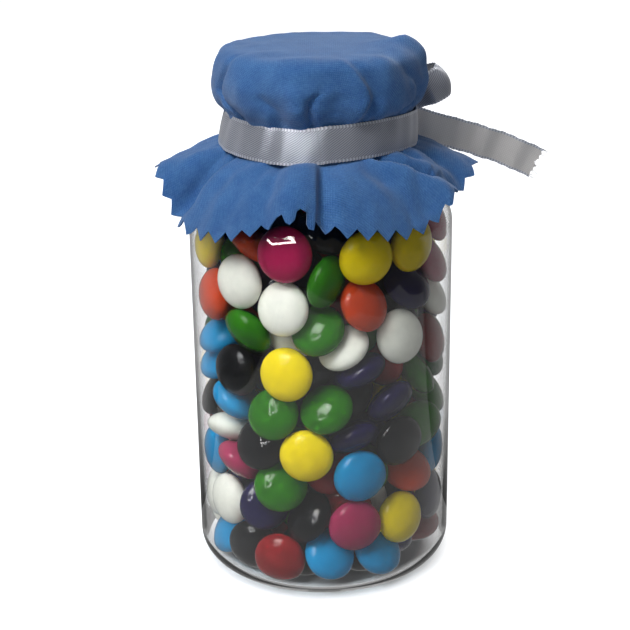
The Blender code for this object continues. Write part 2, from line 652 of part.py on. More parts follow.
def chocolate_buttons():
    """The heap: a plain core with the buttons that show fused on."""
    core = bmesh.new()
    bottom, top = HEAP_CORE_ENDS
    bmesh.ops.create_cone(core, cap_ends=True, segments=24, radius1=HEAP_CORE_RADIUS,
                          radius2=HEAP_CORE_RADIUS - HEAP_CORE_TAPER, depth=top - bottom)
    bmesh.ops.translate(core, vec=(0, 0, (top + bottom) / 2), verts=core.verts)
    shapes = [core]
    centres, axes = lay_buttons()
    outward = unit(centres * (1, 1, 0) + 1e-9)
    reaches = dot(centres + reach(axes, outward), outward)
    for centre, axis, far in zip(centres, axes, reaches):
        if far > JAR_RADIUS - JAR_WALL - HEAP_SKIN:
            shapes.append(button(centre, axis))
    return join("chocolate_buttons", shapes, BUTTON_SHELL)


def main():
    """Clear the scene and build every sub-part."""
    for thing in list(bpy.data.objects):
        bpy.data.objects.remove(thing)
    jar()
    lid()
    cloth_cover()
    ribbon()
    chocolate_buttons()


main()
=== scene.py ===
"""A clear jar of sugar-shelled chocolate buttons under a tied cloth cover, dressed for rendering.

Sizes are in millimetres unless a comment says otherwise, and turn to metres where a mesh is made.
The jar stands on its base at the origin, +Z is up its axis and its front looks along -Y.  Angles
round the jar are in degrees from the front, positive to the right.
"""

import logging
import math
import random
from dataclasses import astuple, dataclass, field, replace
from enum import Enum

import bpy
import numpy as np
from mathutils import Euler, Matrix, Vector


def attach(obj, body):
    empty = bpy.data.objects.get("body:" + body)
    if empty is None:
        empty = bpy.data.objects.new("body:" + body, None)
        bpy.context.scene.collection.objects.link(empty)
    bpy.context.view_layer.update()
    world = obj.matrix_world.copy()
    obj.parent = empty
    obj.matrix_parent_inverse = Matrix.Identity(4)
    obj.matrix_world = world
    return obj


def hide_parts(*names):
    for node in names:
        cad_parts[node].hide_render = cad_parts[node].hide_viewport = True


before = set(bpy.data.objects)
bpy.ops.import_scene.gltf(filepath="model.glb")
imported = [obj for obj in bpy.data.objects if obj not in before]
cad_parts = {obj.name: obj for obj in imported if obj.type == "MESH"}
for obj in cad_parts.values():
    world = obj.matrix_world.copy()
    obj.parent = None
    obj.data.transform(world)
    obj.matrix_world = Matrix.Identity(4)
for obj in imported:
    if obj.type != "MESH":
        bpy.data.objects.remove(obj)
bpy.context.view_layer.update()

LOG = logging.getLogger("jar_of_chocolate_buttons")
MM = 0.001
BODY = "root"
SQUARE = ((-1, -1), (1, -1), (1, 1), (-1, 1))

Array = np.ndarray
Node = bpy.types.Node
Tree = bpy.types.NodeTree
Socket = bpy.types.NodeSocket
Material = bpy.types.Material
Thing = bpy.types.Object
Inputs = dict[str | int, object]


def linear(code: str) -> tuple[float, float, float, float]:
    """Turn an sRGB hex colour, "#RRGGBB", to linear RGBA with an alpha of 1."""
    parts = [int(code[start:start + 2], 16) / 255 for start in (1, 3, 5)]
    return (*(p / 12.92 if p <= 0.04045 else ((p + 0.055) / 1.055) ** 2.4 for p in parts), 1.0)


def give(node: Node, inputs: Inputs) -> None:
    """Give a node's inputs their values, or link them.

    Args:
        node: the node.
        inputs: by input name or number, a value or an output socket to link.
    """
    for key, value in inputs.items():
        if isinstance(value, Socket):
            node.id_data.links.new(value, node.inputs[key])
        else:
            node.inputs[key].default_value = value


def add_node(tree: Tree, kind: str, inputs: Inputs | None = None, output: str | int = 0,
             **settings: object) -> Socket:
    """Add a node with its settings, values and links.

    Args:
        tree: the node tree.
        kind: the node's type, without the "ShaderNode" that they all begin with.
        inputs: values and output sockets, by input name or number.
        output: the output to hand back, by name or number.
        settings: the node's properties.

    Returns:
        One of the new node's outputs.
    """
    node = tree.nodes.new("ShaderNode" + kind)
    for name, value in settings.items():
        setattr(node, name, value)
    give(node, inputs or {})
    return node.outputs[output]


def maths(tree: Tree, operation: str, *values: object) -> Socket:
    """The result of a calculation on values or sockets."""
    return add_node(tree, "Math", dict(enumerate(values)), operation=operation)


def blend(tree: Tree, share: Socket, one: object, two: object) -> Socket:
    """A mix of two colours."""
    return add_node(tree, "Mix", {0: share, 6: one, 7: two}, 2, data_type="RGBA")


def choose(tree: Tree, share: Socket, one: object, two: object) -> Socket:
    """A mix of two numbers."""
    return add_node(tree, "Mix", {0: share, 2: one, 3: two}, data_type="FLOAT")


def ramp(tree: Tree, value: Socket, low: float, high: float, start: float = 0.0, end: float = 1.0,
         smooth: bool = True) -> Socket:
    """Where a value lies between two others, spread from start to end and held there."""
    return add_node(tree, "MapRange", {"Value": value, "From Min": low, "From Max": high,
                                       "To Min": start, "To Max": end},
                    interpolation_type="SMOOTHSTEP" if smooth else "LINEAR")


def noise(tree: Tree, size: float, source: Socket, detail: float = 2.0,
          rough: float = 0.5) -> Socket:
    """Noise with features of a size in millimetres."""
    return add_node(tree, "TexNoise", {"Vector": source, "Scale": 1 / (size * MM), "Detail": detail,
                                       "Roughness": rough}, "Fac")


def bands(tree: Tree, axis: str, period: float, source: Socket, bend: float = 0.0,
          detail: float = 2.0, fine: float = 1.0) -> Socket:
    """Waves across an axis, a period in millimetres apart and a little bent."""
    return add_node(tree, "TexWave", {"Vector": source, "Scale": math.tau / 20 / (period * MM),
                                      "Distortion": bend, "Detail": detail, "Detail Scale": fine},
                    "Fac", bands_direction=axis)


def ray(tree: Tree, name: str) -> Socket:
    """What the light path says of the ray."""
    return add_node(tree, "LightPath", output=name)


def mixed(tree: Tree, share: Socket, one: Socket, two: Socket) -> Socket:
    """A mix of two shaders."""
    return add_node(tree, "MixShader", {0: share, 1: one, 2: two})


def new_material(name: str) -> tuple[Material, Tree]:
    """A new material and its node tree."""
    material = bpy.data.materials.new(name)
    material.use_nodes = True
    return material, material.node_tree


def show(tree: Tree, surface: Socket) -> None:
    """Make this the material's surface."""
    give(tree.nodes["Material Output"], {"Surface": surface})


def on_jar(radius: Array | float, angle: Array | float, height: Array | float) -> Array:
    """Points at a radius, an angle from the front and a height."""
    turn = np.radians(angle)
    return np.stack(np.broadcast_arrays(radius * np.sin(turn), -radius * np.cos(turn), height), -1)


def ease(share: Array | float) -> Array | float:
    """A smooth step from 0 to 1."""
    return share * share * (3 - 2 * share)


def unit(rows: Array) -> Array:
    """Vectors scaled to length one, along the last axis."""
    return rows / np.maximum(np.linalg.norm(rows, axis=-1, keepdims=True), 1e-12)


def gauss(draw: random.Random) -> Array:
    """A random vector."""
    return np.array([draw.gauss(0, 1) for _ in range(3)])


def round_table(table: tuple[tuple[float, ...], ...], angles: Array | float, eased: float) -> list[Array]:
    """Read a table that runs once round the jar and joins up.

    Args:
        table: rows of an angle and its values.
        angles: where to read it.
        eased: how much the way from row to row is eased, from 0 to 1.

    Returns:
        Each column's values at those angles.
    """
    rows = np.vstack((table, table[0]))
    rows[-1, 0] += 360
    spot = (np.asarray(angles, float) - rows[0, 0]) % 360 + rows[0, 0]
    number = np.clip(np.searchsorted(rows[:, 0], spot, "right") - 1, 0, len(rows) - 2)
    one, two = rows[number], rows[number + 1]
    share = (spot - one[..., 0]) / (two[..., 0] - one[..., 0])
    share = (1 - eased) * share + eased * ease(share)
    return [one[..., k] + (two[..., k] - one[..., k]) * share for k in range(1, rows.shape[1])]


# --- finishes -----------------------------------------------------------------------------------


@dataclass(frozen=True)
class Finish:
    """What every finish has: a name, a colour, a roughness and a refractive index."""

    name: str
    colour: str
    roughness: float
    ior: float = 1.5

    def build(self) -> Material:
        """Make the material: the uniform values, and then what is the finish's own.

        Returns:
            The material.
        """
        material, tree = new_material(self.name)
        shader = tree.nodes["Principled BSDF"]
        give(shader, {"Base Color": linear(self.colour), "Roughness": self.roughness, "IOR": self.ior})
        self.dress(tree, shader)
        return material

    def dress(self, tree: Tree, shader: Node) -> None:
        """Add what is the finish's own."""

    def relief(self, shader: Node, height: Socket, strength: float, depth: float) -> None:
        """Give the shader a bump of this depth in millimetres."""
        give(shader, {"Normal": add_node(shader.id_data, "Bump", {"Height": height, "Strength": strength,
                                                                  "Distance": depth * MM})})


@dataclass(frozen=True)
class MouldedPet(Finish):
    """Clear PET, stretch-blown in a mould: glassy, with a slow waviness that bends reflections."""

    wave: float = 16.0        # length of the wall's waves
    wave_depth: float = 0.05

    def dress(self, tree: Tree, shader: Node) -> None:
        """Add the waves, and let light from the lamps straight through the thin wall.

        Args:
            tree: the material's node tree.
            shader: its Principled shader.
        """
        give(shader, {"Transmission Weight": 1.0})
        place = add_node(tree, "TexCoord", output="Object")
        self.relief(shader, noise(tree, self.wave, place, detail=1.0), strength=1.0, depth=self.wave_depth)
        clear = add_node(tree, "BsdfTransparent", {"Color": linear("#F4F7F7")})
        show(tree, mixed(tree, ray(tree, "Is Shadow Ray"), shader.outputs["BSDF"], clear))


@dataclass(frozen=True)
class MouldedPolypropylene(Finish):
    """Polypropylene, injection moulded: a waxy half gloss with a fine spark-eroded grain."""

    grain: float = 0.4

    def dress(self, tree: Tree, shader: Node) -> None:
        """Add the grain as a low bump."""
        place = add_node(tree, "TexCoord", output="Object")
        self.relief(shader, noise(tree, self.grain, place), strength=0.3, depth=0.02)


@dataclass(frozen=True)
class PlainWeaveCotton(Finish):
    """Dyed cotton in a plain weave: matt, with a soft fuzz that pales it at a low angle."""

    pale: str = "#5B8CC0"
    thread: float = 0.55      # real threads lie 0.3 apart, drawn coarser so that they show
    slub: float = 5.0         # length of the slow changes of shade
    fibre: float = 0.7        # size of the specks
    weave_painted_shade: float = 0.35    # how far the weave and the specks tell in the colour; the weave's darker gaps between threads are painted shade
    fibre_shade: float = 0.9
    fibre_height: float = 0.8    # how high the specks stand beside the weave

    def dress(self, tree: Tree, shader: Node) -> None:
        """Add crossed threads in the flat cloth's own measure, with painted shade in the gaps between them,
        and uneven dye.

        Args:
            tree: the material's node tree.
            shader: its Principled shader.
        """
        give(shader, {"Specular IOR Level": 0.25, "Sheen Weight": 0.3, "Sheen Roughness": 0.6,
                      "Sheen Tint": linear("#D9DEE2")})
        flat = add_node(tree, "UVMap", uv_map="flat")
        place = add_node(tree, "TexCoord", output="Object")
        weave = maths(tree, "MULTIPLY", *(
            bands(tree, axis, self.thread, flat, bend=0.6, detail=1.0, fine=fine)
            for axis, fine in (("X", 2.0), ("Y", 3.0))))
        dye = noise(tree, self.slub, place, detail=5.0, rough=0.65)
        fibre = noise(tree, self.fibre, flat)
        specked = maths(tree, "MULTIPLY_ADD", fibre, self.fibre_shade, dye)
        # The weave pales the threads and darkens the gaps between them: painted shade.
        shade = maths(tree, "MULTIPLY_ADD", weave, self.weave_painted_shade, specked)
        pale = ramp(tree, shade, 0.75, 1.5, end=0.5, smooth=False)
        give(shader, {"Base Color": blend(tree, pale, linear(self.colour), linear(self.pale))})
        height = maths(tree, "MULTIPLY_ADD", fibre, self.fibre_height, weave)
        self.relief(shader, height, strength=0.75, depth=0.12)


class Face(Enum):
    """The two faces of a single-faced satin ribbon: its metallic, specular, anisotropic and sheen shares."""

    SATIN = (0.42, 1.0, 0.75, 0.15)
    BACK = (0.0, 0.4, 0.0, 0.35)


@dataclass(frozen=True)
class WovenSatin(Finish):
    """Polyester satin ribbon: long floats shine across their run, the back is a matt fine grid."""

    face: Face = Face.SATIN
    # The ribs' paler colour: on the satin face a painted glint.
    pale: str = "#B9BCC6"
    rib: float = 0.5          # twill lines, drawn coarser than their real 0.25
    slant: float = 58         # and their slant on the satin face, in degrees
    width: float = 9.4
    selvedge: float = 0.7     # width of the woven edge
    stitch: float = 0.9       # spacing of the loops along it

    def dress(self, tree: Tree, shader: Node) -> None:
        """Add slanting ribs to the satin face or a square grid to the back, and the stitched edges; on the
        satin face the paler ribs are a painted glint of the twill.

        Args:
            tree: the material's node tree.
            shader: its Principled shader.
        """
        satin = self.face is Face.SATIN
        shares = ("Metallic", "Specular IOR Level", "Anisotropic", "Sheen Weight")
        give(shader, dict(zip(shares, self.face.value)))
        if satin:
            along = add_node(tree, "Tangent", direction_type="UV_MAP", uv_map="flat")
            give(shader, {"Tangent": along, "Anisotropic Rotation": 0.25})
        flat = add_node(tree, "UVMap", uv_map="flat")
        turned = add_node(tree, "Mapping", {
            "Vector": flat, "Rotation": (0, 0, math.radians(self.slant if satin else 0))})
        weave = bands(tree, "X", self.rib, turned, bend=0.8)
        if not satin:
            weave = maths(tree, "MULTIPLY", weave, bands(tree, "Y", self.rib, flat, bend=0.4))
        # Paler ribs: on the satin face a painted glint of the twill.
        colour = blend(tree, weave, linear(self.colour), linear(self.pale))
        side = maths(tree, "ABSOLUTE", add_node(tree, "SeparateXYZ", {"Vector": flat}, "Y"))
        edge = maths(tree, "GREATER_THAN", side, (self.width / 2 - self.selvedge) * MM)
        loops = bands(tree, "X", self.stitch, flat)
        stitched = blend(tree, loops, linear("#9A9EAA"), linear("#D2D5DD"))
        give(shader, {"Base Color": blend(tree, edge, colour, stitched)})
        self.relief(shader, maths(tree, "ADD", weave, maths(tree, "MULTIPLY", edge, loops)),
                    strength=0.5, depth=0.08)


@dataclass(frozen=True)
class PannedSugarShell(Finish):
    """A panned and polished sugar shell: bright under a thin wax gloss, never quite even."""

    mottle: float = 2.2       # size of the uneven patches of colour
    pit: float = 1.3          # size of the shallow dimples
    shade: float = 0.20       # how much darker the patches are

    def dress(self, tree: Tree, shader: Node) -> None:
        """Add the patches of colour, and the dimples as a low bump.

        Args:
            tree: the material's node tree.
            shader: its Principled shader.
        """
        place = add_node(tree, "TexCoord", output="Object")
        deep = linear(self.colour)
        dark = tuple(part * (1 - self.shade) for part in deep[:3]) + (1.0,)
        patches = noise(tree, self.mottle, place, detail=3.0)
        give(shader, {"Specular IOR Level": 0.24, "Base Color": blend(tree, patches, deep, dark)})
        self.relief(shader, noise(tree, self.pit, place, detail=1.0), strength=0.3, depth=0.03)


class Shell(Enum):
    """The colours that the sugar shells come in."""

    YELLOW = "#ECD206"
    BLUE = "#1086BC"
    GREEN = "#27680E"
    DEEP_GREEN = "#0F4F1C"
    RED = "#80151A"
    ORANGE = "#B83A14"
    MAGENTA = "#9C1A48"
    PINK = "#97284F"
    WHITE = "#F1F1E6"
    BLACK = "#101114"
    NAVY = "#1B1640"


# --- meshes -------------------------------------------------------------------------------------


@dataclass
class Patch:
    """Vertices, faces, flat coordinates and material numbers gathered for one mesh."""

    points: list[Array] = field(default_factory=list)
    faces: list[Array] = field(default_factory=list)
    flats: list[Array] = field(default_factory=list)
    slots: list[Array] = field(default_factory=list)
    count: int = 0

    def add_points(self, points: Array, flats: Array) -> Array:
        """Add points.

        Args:
            points: rows of any layout by three, in millimetres.
            flats: the same layout by two, the coordinates on the flat material.

        Returns:
            The points' numbers, in that layout.
        """
        numbers = self.count + np.arange(points[..., 0].size).reshape(points.shape[:-1])
        self.points.append(points.reshape(-1, 3))
        self.flats.append(flats.reshape(-1, 2))
        self.count += numbers.size
        return numbers

    def add_faces(self, corners: Array, slot: int = 0) -> None:
        """Add faces by vertex number."""
        self.faces.append(corners)
        self.slots.append(np.full(len(corners), slot))

    def strip(self, one: Array, two: Array, closed: bool, slot: int = 0, flip: bool = False) -> None:
        """Join rows of vertex numbers, each row with its partner, by quads.

        Args:
            one: the rows on one side.
            two: their partners.
            closed: whether the rows join up with themselves.
            slot: the material number.
            flip: turn the faces over.
        """
        corners = [one, np.roll(one, -1, -1), np.roll(two, -1, -1), two]
        quads = np.stack(corners if closed else [row[..., :-1] for row in corners], -1).reshape(-1, 4)
        self.add_faces(quads[:, ::-1] if flip else quads, slot)

    def grid(self, points: Array, flat: Array, closed: tuple[bool, bool], flip: bool = False,
             slot: int = 0) -> Array:
        """Add a grid of quads.

        Args:
            points: rows by columns by 3, in millimetres.
            flat: rows by columns by 2, the coordinates on the flat material.
            closed: whether the rows and the columns join up.
            flip: turn the faces over.
            slot: the material number.

        Returns:
            The vertex numbers, rows by columns.
        """
        numbers = self.add_points(points, flat)
        ahead = np.roll(numbers, -1, 0)
        rows = slice(None) if closed[0] else slice(-1)
        self.strip(numbers[rows], ahead[rows], closed[1], slot, flip)
        return numbers

    def tube(self, points: Array, flat: Array, flip: bool = False, slot: int = 0) -> None:
        """Add a grid whose columns join up, with a face over each end."""
        numbers = self.grid(points, flat, (False, True), flip, slot)
        for row, turned in ((numbers[:1], not flip), (numbers[-1:], flip)):
            self.add_faces(row[:, ::-1] if turned else row)

    def build(self, name: str, materials: list[Material], sharp: float = 60) -> Thing:
        """Make the object.

        Args:
            name: the object's name.
            materials: its materials in order.
            sharp: the angle in degrees above which an edge stays sharp.

        Returns:
            The object, linked to the scene.
        """
        mesh = bpy.data.meshes.new(name)
        mesh.from_pydata((np.concatenate(self.points) * MM).tolist(), [],
                         [corners for block in self.faces for corners in block.tolist()])
        corner = np.empty(len(mesh.loops), np.int32)
        mesh.loops.foreach_get("vertex_index", corner)
        flats = (np.concatenate(self.flats) * MM)[corner]
        mesh.uv_layers.new(name="flat").data.foreach_set("uv", flats.astype(np.float32).ravel())
        for material in materials:
            mesh.materials.append(material)
        mesh.polygons.foreach_set("material_index", np.concatenate(self.slots).astype(np.int32))
        mesh.validate()
        mesh.shade_smooth()
        mesh.set_sharp_from_angle(angle=math.radians(sharp))
        thing = bpy.data.objects.new(name, mesh)
        bpy.context.scene.collection.objects.link(thing)
        LOG.info("%s: %d vertices, %d faces", name, len(mesh.vertices), len(mesh.polygons))
        return thing


def arc(centre: tuple[float, float], radius: float, start: float, end: float, steps: int) -> list[tuple]:
    """Points of an arc in the radius-height plane, from one angle to another in degrees from outward."""
    turns = np.radians(np.linspace(start, end, steps + 1))
    return [(centre[0] + radius * math.cos(t), centre[1] + radius * math.sin(t)) for t in turns]


@dataclass
class Jar:
    """The blown clear jar: heel, straight wall, shoulder and neck, with a pushed-up base."""

    radius: float
    rim: float
    finish: MouldedPet
    wall: float = 1.0
    floor: float = 1.5
    heel: float = 7.3
    heel_inside: float = 6.0
    shoulder_height: float = 100.0
    shoulder: float = 9.0
    shoulder_turn: float = 60.0
    neck: float = 24.4
    neck_bend: float = 5.0
    push_up: float = 0.7      # how far the middle of the base is raised off the ground
    push_radius: float = 24.0
    sides: int = 160
    base_steps: int = 12
    wall_steps: int = 19
    wall_ends: tuple[float, float] = (4.0, 2.0)    # the wall's rows keep off the heel and shoulder
    curve_steps: int = 14
    neck_steps: int = 8

    def skin(self, inset: float, floor: float, heel: float) -> list[tuple]:
        """One skin's section from the axis up to the rim.

        Args:
            inset: how far it lies inside the jar's outside.
            floor: its height at the base.
            heel: its heel's radius.

        Returns:
            Points as radius and height.
        """
        shoulder = (self.radius - self.shoulder, self.shoulder_height)
        end = arc(shoulder, self.shoulder, self.shoulder_turn, self.shoulder_turn, 1)[0]
        slope = math.radians(self.shoulder_turn)
        bend_radius = self.neck + self.neck_bend
        run_in = end[0] - (bend_radius - self.neck_bend * math.cos(slope))
        bend = (bend_radius, end[1] + run_in / math.tan(slope) + self.neck_bend * math.sin(slope))
        base = [(radius, floor + self.push_up * ease(1 - (radius / self.push_radius) ** 2))
                for radius in np.linspace(0, self.push_radius, self.base_steps + 1)]
        low, high = self.heel + self.wall_ends[0], self.shoulder_height - self.wall_ends[1]
        straight = [(self.radius, height) for height in np.linspace(low, high, self.wall_steps + 1)]
        return (base + arc((self.radius - inset - heel, floor + heel), heel, -90, 0, self.curve_steps)
                + ([] if inset else straight)
                + arc(shoulder, self.shoulder - inset, 0, self.shoulder_turn, self.curve_steps)
                + arc(bend, self.neck_bend + inset, 180 + self.shoulder_turn, 180, self.neck_steps)
                + [(self.neck - inset, self.rim)])

    def build(self) -> None:
        """Turn the section and replace the jar's solid."""
        outside, inside = self.skin(0, 0, self.heel), self.skin(self.wall, self.floor, self.heel_inside)
        section = np.array(outside[1:] + inside[:0:-1])
        angles = np.arange(self.sides)[None] * 360 / self.sides
        patch = Patch()
        numbers = patch.grid(on_jar(section[:, :1], angles, section[:, 1:]),
                             np.stack(np.broadcast_arrays(angles, section[:, 1:]), -1), (False, True))
        hubs = np.array([(0, 0, outside[0][1]), (0, 0, inside[0][1])])
        for hub, row, turned in zip(patch.add_points(hubs, hubs[:, :2]), numbers[[0, -1]], (False, True)):
            fan = np.stack((np.full(len(row), hub), row, np.roll(row, -1)), -1)
            patch.add_faces(fan[:, ::-1] if turned else fan)
        thing = patch.build("pet_jar", [self.finish.build()])
        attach(thing, BODY)
        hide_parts("jar")


@dataclass
class Lid:
    """The cap under the cloth, which keeps its CAD solid and takes its plastic."""

    finish: MouldedPolypropylene

    def dress(self) -> None:
        """Give the lid's solid its finish."""
        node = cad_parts["lid"]
        node.data.materials.clear()
        node.data.materials.append(self.finish.build())


# The buttons that show in front: angle, height, the way that the face looks, its tilt up, how far
# the button lies behind the glass, and its colour.
FRONT_BUTTONS: tuple[tuple[float, float, float, float, float, Shell], ...] = (
    (-78, 7, -30, 35, 0, Shell.BLUE), (-50, 10, 0, 15, 2, Shell.BLACK),
    (-23, 10, -12, 22, 0, Shell.RED), (-5, 4, 0, 60, 5, Shell.BLACK), (2, 11, 57, 55, 0, Shell.BLUE),
    (21, 2, -20, 60, 6, Shell.BLACK), (31, 8, 22, 45, 0, Shell.BLUE), (85, 8, 60, -10, 1, Shell.RED),
    (84, 2, -40, 55, 0, Shell.RED), (-85, 20, -88, -5, 0, Shell.WHITE),
    (-63, 22, -62, 5, 0, Shell.WHITE), (-39, 23, 18, 45, 0, Shell.NAVY),
    (-9, 22, -75, 40, 1, Shell.BLACK), (11, 24, 20, 50, 7, Shell.RED), (16, 20, 15, 22, 0, Shell.PINK),
    (46, 19, 42, 15, 0, Shell.YELLOW), (47, 21, -40, 50, 8, Shell.WHITE),
    (85, 24, 70, 0, 1, Shell.GREEN), (85, 13, 70, 5, 0, Shell.NAVY), (-85, 30, -65, 5, 0, Shell.BLUE),
    (-55, 34, 78, 70, 0, Shell.PINK), (-24, 31, 15, 42, 0, Shell.GREEN), (-1, 30, 0, 60, 7, Shell.RED),
    (18, 25, 0, 60, 9, Shell.BLACK), (20, 36, 10, -16, 0, Shell.BLUE),
    (56, 31, 15, 38, 0, Shell.ORANGE), (85, 32, 70, 0, 0, Shell.BLUE),
    (-71, 41, 65, 75, 0, Shell.WHITE), (-37, 44, -30, 45, 1, Shell.BLACK),
    (-8, 42, -5, 20, 0, Shell.YELLOW), (17, 46, -80, 70, 1, Shell.NAVY),
    (45, 44, 35, 20, 0, Shell.BLACK), (85, 37, 55, -5, 1, Shell.RED), (66, 43, 20, 12, 0, Shell.GREEN),
    (-85, 52, -70, 0, 0, Shell.BLACK), (-58, 52, 60, 72, 0, Shell.BLUE),
    (-27, 52, -2, 52, 0, Shell.GREEN), (-18, 54, 0, 60, 8, Shell.NAVY),
    (3, 56, -92, 56, 0, Shell.GREEN), (37, 54, -88, 64, 0, Shell.NAVY),
    (63, 52, 55, 5, 4, Shell.YELLOW), (85, 54, 65, 8, 0, Shell.GREEN),
    (-84, 61, -45, 30, 0, Shell.BLUE), (-50, 63, -35, 30, 0, Shell.BLACK),
    (-17, 65, -20, 20, 0, Shell.YELLOW), (5, 63, 0, 50, 6, Shell.BLACK),
    (24, 64, -93, 66, 0, Shell.NAVY), (68, 60, 85, 62, 0, Shell.GREEN),
    (85, 61, 60, 0, 0, Shell.DEEP_GREEN), (85, 66, 65, 12, 0, Shell.RED),
    (-84, 68, -50, 48, 0, Shell.BLUE), (-46, 74, 80, 48, 0, Shell.GREEN),
    (-16, 71, 0, 60, 5, Shell.WHITE), (-1, 76, -60, 55, 0, Shell.GREEN),
    (14, 72, -105, 52, 0, Shell.WHITE), (43, 74, 35, 15, 0, Shell.WHITE),
    (85, 70, 60, 0, 2, Shell.GREEN), (85, 78, 62, 10, 0, Shell.WHITE), (-85, 77, -80, 0, 2, Shell.RED),
    (-69, 83, -84, 5, 0, Shell.ORANGE), (-20, 84, -15, 18, 0, Shell.WHITE),
    (21, 84, 62, 38, 0, Shell.ORANGE), (55, 86, 15, 40, 1, Shell.NAVY), (67, 88, 0, 20, 9, Shell.BLACK),
    (-86, 91, -20, 40, 5, Shell.BLUE), (-85, 94, -60, -5, 0, Shell.YELLOW),
    (-44, 90, -66, 0, 0, Shell.WHITE), (-43, 89, 0, 40, 6, Shell.NAVY),
    (1, 91, -86, 22, 0, Shell.GREEN), (85, 91, 70, 15, 0, Shell.MAGENTA),
    (-48, 98, 60, 60, 2, Shell.ORANGE), (-15, 99, -10, 15, 0, Shell.MAGENTA),
    (6, 103, 0, 65, 4, Shell.BLACK), (21, 98, 40, 22, 0, Shell.YELLOW),
    (51, 100, 38, 15, 0, Shell.YELLOW), (85, 101, 75, 10, 0, Shell.MAGENTA),
)


def dots(one: Array, two: Array) -> Array:
    """Row by row dot product, summed in a fixed order."""
    return one[:, 0] * two[:, 0] + one[:, 1] * two[:, 1] + one[:, 2] * two[:, 2]


def crosses(a: Array, b: Array) -> Array:
    """Row by row cross product."""
    return np.stack((a[:, 1] * b[:, 2] - a[:, 2] * b[:, 1], a[:, 2] * b[:, 0] - a[:, 0] * b[:, 2],
                     a[:, 0] * b[:, 1] - a[:, 1] * b[:, 0]), 1)


def scaled(rows: Array) -> Array:
    """Rows scaled to length one, summed in a fixed order."""
    return rows / np.sqrt(dots(rows, rows))[:, None]


